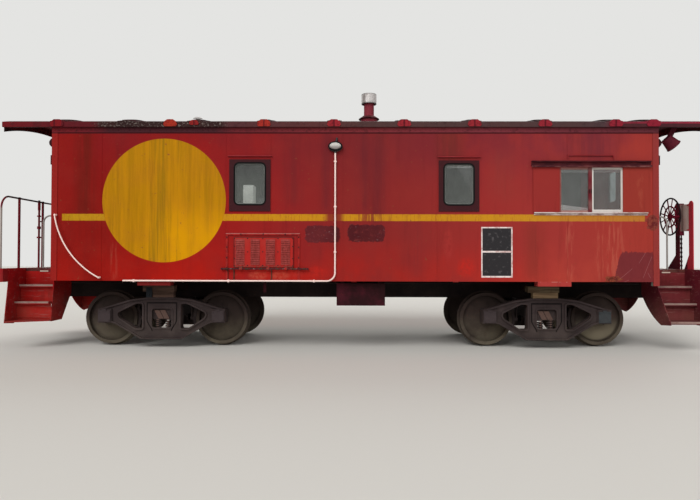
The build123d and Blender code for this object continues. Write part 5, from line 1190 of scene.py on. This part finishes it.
# Steps: worn strips on the treads' front edges, but none on the askew lowest tread of the bent steps
stepTrim = {
    "from": 4.752, "to": 5.282, "tops": (0.460, 0.720, 0.980), "noses": (1.402, 1.160, 1.032),
    "bentNoses": (None, 1.149, 1.023), "deep": 0.030, "proud": 0.003, "lip": 0.003, "skirt": 0.024,
}
mesh = bmesh.new()
for end in (-1, 1):
    for side in (-1, 1):
        noses = stepTrim["bentNoses"] if (end, side) == (-1, -1) else stepTrim["noses"]
        for top, nose in zip(stepTrim["tops"], noses):
            if nose is None:
                continue
            start = end * stepTrim["from"]
            stop = end * stepTrim["to"]
            front = side * (nose + stepTrim["proud"])
            putBox(mesh, (start, side * (nose - stepTrim["deep"]), top - stepTrim["lip"]),
                   (stop, front, top + stepTrim["lip"]))
            putBox(mesh, (start, side * nose, top - stepTrim["skirt"]), (stop, front, top - stepTrim["lip"]))
piece(mesh, "stepNoses", "wornEdge", "car")

# Bolts of the hand brake's gear case
gearCase = {"x": 5.300, "bolts": [(y, z) for y in (-0.580, -0.668) for z in (1.83, 1.99, 2.15, 2.27)],
            "bolt": (0.009, 0.007)}
mesh = bmesh.new()
for y, z in gearCase["bolts"]:
    putBolt(mesh, (gearCase["x"], y, z), (-1, 0, 0), *gearCase["bolt"])
piece(mesh, "gearCaseBolts", "boltSteel", "car")

# The hand brake's thin wire spokes and inner ring, beside the spokes of the CAD wheel, and its chain
brakeTrim = {"spokes": 6, "turn": 0.75, "from": 0.03, "to": 0.295, "wire": 0.008, "ring": 0.165,
             "ringWire": 0.012, "steps": 40}
chain = {"x": 5.330, "y": -0.672, "low": 1.24, "high": 1.79, "half": (0.014, 0.024), "overlap": 1.5,
         "wire": 0.005, "steps": 12}
mesh = bmesh.new()
for number in range(brakeTrim["spokes"]):
    turn = 2 * math.pi * (number + brakeTrim["turn"]) / brakeTrim["spokes"]
    ends = [(brakeWheel["x"], brakeWheel["y"] + reach * math.cos(turn),
             brakeWheel["z"] + reach * math.sin(turn)) for reach in (brakeTrim["from"], brakeTrim["to"])]
    putTube(mesh, ends, brakeTrim["wire"])
hoop = [(brakeWheel["x"], brakeWheel["y"] + brakeTrim["ring"] * across,
         brakeWheel["z"] + brakeTrim["ring"] * upward) for across, upward in around(brakeTrim["steps"])]
putTube(mesh, hoop, brakeTrim["ringWire"], closed=True)
piece(mesh, "brakeWheelWires", "spokeRed", "car")
# The brake chain's links, turned a quarter from one to the next
wide, tall = chain["half"]
mesh = bmesh.new()
for number, z in enumerate(spaced(chain["low"] + tall, chain["high"] - tall, tall * chain["overlap"])):
    link = [(chain["x"] + wide * across * (number % 2), chain["y"] + wide * across * (1 - number % 2),
             z + tall * upward) for across, upward in around(chain["steps"])]
    putTube(mesh, link, chain["wire"], 6, closed=True)
piece(mesh, "brakeChain", "blackIron", "car")
print("stage: lamp, steps and brake trim")


# Truck trim: lid bolts, and the steel angle with two bolts beside the left-hand block
truckTrim = {"lidFace": 1.101, "lidHalf": 0.074, "lidLow": 0.430, "lidHigh": 0.556, "bolt": (0.009, 0.008)}
blockAngle = {"left": -3.249, "right": -3.161, "low": 0.787, "high": 0.942, "front": 1.082, "back": 1.068,
              "leg": (0.014, 0.09), "bolts": (0.904, 0.822), "bolt": (0.013, 0.012)}
for end, sign in (("left", -1), ("right", 1)):
    mesh = bmesh.new()
    for side in (-1, 1):
        for place in (trucks["axle"], -trucks["axle"]):
            middle = sign * trucks["x"] + place
            for x in (middle - truckTrim["lidHalf"], middle + truckTrim["lidHalf"]):
                for z in (truckTrim["lidLow"], truckTrim["lidHigh"]):
                    putBolt(mesh, (x, side * truckTrim["lidFace"], z), (0, side, 0), *truckTrim["bolt"])
    piece(mesh, f"journalBolts_{end}", "castSteel", f"truck_{end}")
left = blockAngle["left"]
right = blockAngle["right"]
low = blockAngle["low"]
high = blockAngle["high"]
front = -blockAngle["front"]
back = -blockAngle["back"]
thick, long = blockAngle["leg"]
mesh = bmesh.new()
putBox(mesh, (left, front, low), (right, back, high))
putBox(mesh, (right - thick, back, low), (right, back + long, high))
for z in blockAngle["bolts"]:
    putBolt(mesh, ((left + right) / 2, front, z), (0, -1, 0), *blockAngle["bolt"])
piece(mesh, "blockAngle", "darkSteel", "truck_left")

# Coil springs in the trucks, in place of the plain solids
springs = {"wire": 0.013, "turns": 5.0, "stepsPerTurn": 16, "seat": 0.012, "pairAt": 0.080, "yAt": 0.9675}
for end in truckEnds:
    node = f"truck_{end}_springs"
    low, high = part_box(node)
    middleX = (low.x + high.x) / 2
    mesh = bmesh.new()
    for side in (-1, 1):
        for turn in (-1, 1):
            centreX = middleX + turn * springs["pairAt"]
            centreY = side * springs["yAt"]
            radius = (high.x - low.x) / 2 - springs["pairAt"] - springs["wire"]
            bottom = low.z + springs["seat"] + springs["wire"]
            top = high.z - springs["seat"] - springs["wire"]
            steps = int(springs["turns"] * springs["stepsPerTurn"])
            points = []
            for step in range(steps + 1):
                angle = 2 * math.pi * step / springs["stepsPerTurn"]
                points.append((centreX + radius * math.cos(angle), centreY + radius * math.sin(angle),
                               bottom + (top - bottom) * step / steps))
            putTube(mesh, points, springs["wire"])
            for z in (low.z, high.z - springs["seat"]):
                putLathe(mesh, (centreX, centreY, z), (0, 0, 1),
                         ((radius + springs["wire"], 0), (radius + springs["wire"], springs["seat"]),
                          (0, springs["seat"])), 20)
    coil = piece(mesh, f"coilSprings_{end}", "castSteel", f"truck_{end}")
    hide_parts(node)
print("stage: trucks")


# Floor, light and camera
studio = {
    "floorHalf": 90.0, "floorColour": "D9D6D0", "worldColour": "E4E4E2", "ambient": 0.50,
    "key": {"from": (-6.0, -12.0, 11.0), "strength": 1.75, "spread": 40},
    "fill": {"from": (8.0, -10.0, 5.0), "strength": 0.45, "spread": 60},
    "back": {"from": (5.0, 12.0, 9.0), "strength": 1.0, "spread": 50},
    "cabinLamps": (((-2.2, 0.1, 3.2), 16.0), ((0.4, 0.1, 3.2), 20.0), ((3.0, 0.1, 3.2), 17.0)),
    "cabinLampSize": 1.2,
}
floorData = bpy.data.meshes.new("studioFloor")
half = studio["floorHalf"]
floorData.from_pydata([(-half, -half, 0), (half, -half, 0), (half, half, 0), (-half, half, 0)], [],
                      [(0, 1, 2, 3)])
floor = bpy.data.objects.new("studioFloor", floorData)
bpy.context.scene.collection.objects.link(floor)
floorFinish = Finish("studioFloor", roughness=0.9)
floorData.materials.append(floorFinish.done(studio["floorColour"]))


def hangLamp(name, kind, place, strength):
    lamp = bpy.data.lights.new(name, kind)
    lamp.energy = strength
    lampObject = bpy.data.objects.new(name, lamp)
    lampObject.location = place
    bpy.context.scene.collection.objects.link(lampObject)
    return lampObject


for name in ("key", "fill", "back"):
    settings = studio[name]
    lampObject = hangLamp(name, "SUN", settings["from"], settings["strength"])
    lampObject.data.angle = math.radians(settings["spread"])
    lampObject.rotation_euler = Vector(settings["from"]).to_track_quat("Z", "Y").to_euler()

# Soft lamps in the cabin, so that it shows through its panes
for place, power in studio["cabinLamps"]:
    hangLamp("cabinLamp", "AREA", place, power).data.size = studio["cabinLampSize"]

# The backdrop is at full strength where it is seen, and dimmer where it only lights the car
world = bpy.data.worlds.new("studioWorld")
bpy.context.scene.world = world
world.use_nodes = True
worldNodes = world.node_tree.nodes
worldLinks = world.node_tree.links
background = worldNodes["Background"]
background.inputs["Color"].default_value = shade(studio["worldColour"])
rays = worldNodes.new("ShaderNodeLightPath").outputs
seen = rays["Is Camera Ray"]
for kind in ("Is Glossy Ray", "Is Transmission Ray"):
    either = worldNodes.new("ShaderNodeMath")
    either.operation = "MAXIMUM"
    worldLinks.new(seen, either.inputs[0])
    worldLinks.new(rays[kind], either.inputs[1])
    seen = either.outputs[0]
strength = worldNodes.new("ShaderNodeMapRange")
worldLinks.new(seen, strength.inputs["Value"])
strength.inputs["To Min"].default_value = studio["ambient"]
strength.inputs["To Max"].default_value = 1.0
worldLinks.new(strength.outputs[0], background.inputs["Strength"])

# The camera that was fitted to the photograph; angles in radians
view = {"place": (0.01665, -9.98907, 1.39356), "yawLeft": 0.0085, "pitchUp": 0.0160, "roll": 0.0022,
        "lens": 29.31, "sensor": 36.0, "farthest": 300}
forward = Vector((-math.sin(view["yawLeft"]) * math.cos(view["pitchUp"]),
                  math.cos(view["yawLeft"]) * math.cos(view["pitchUp"]), math.sin(view["pitchUp"])))
right = forward.cross(Vector((0, 0, 1))).normalized()
upward = right.cross(forward)
rolledRight = right * math.cos(view["roll"]) + upward * math.sin(view["roll"])
rolledUp = upward * math.cos(view["roll"]) - right * math.sin(view["roll"])
cameraData = bpy.data.cameras.new("photoCamera")
cameraData.lens = view["lens"]
cameraData.sensor_width = view["sensor"]
cameraData.clip_end = view["farthest"]
camera = bpy.data.objects.new("photoCamera", cameraData)
camera.matrix_world = Matrix.Translation(view["place"]) @ Matrix((rolledRight, rolledUp,
                                                                  -forward)).transposed().to_4x4()
bpy.context.scene.collection.objects.link(camera)
bpy.context.scene.camera = camera
bpy.context.scene.view_settings.view_transform = "Standard"
print("stage: studio")
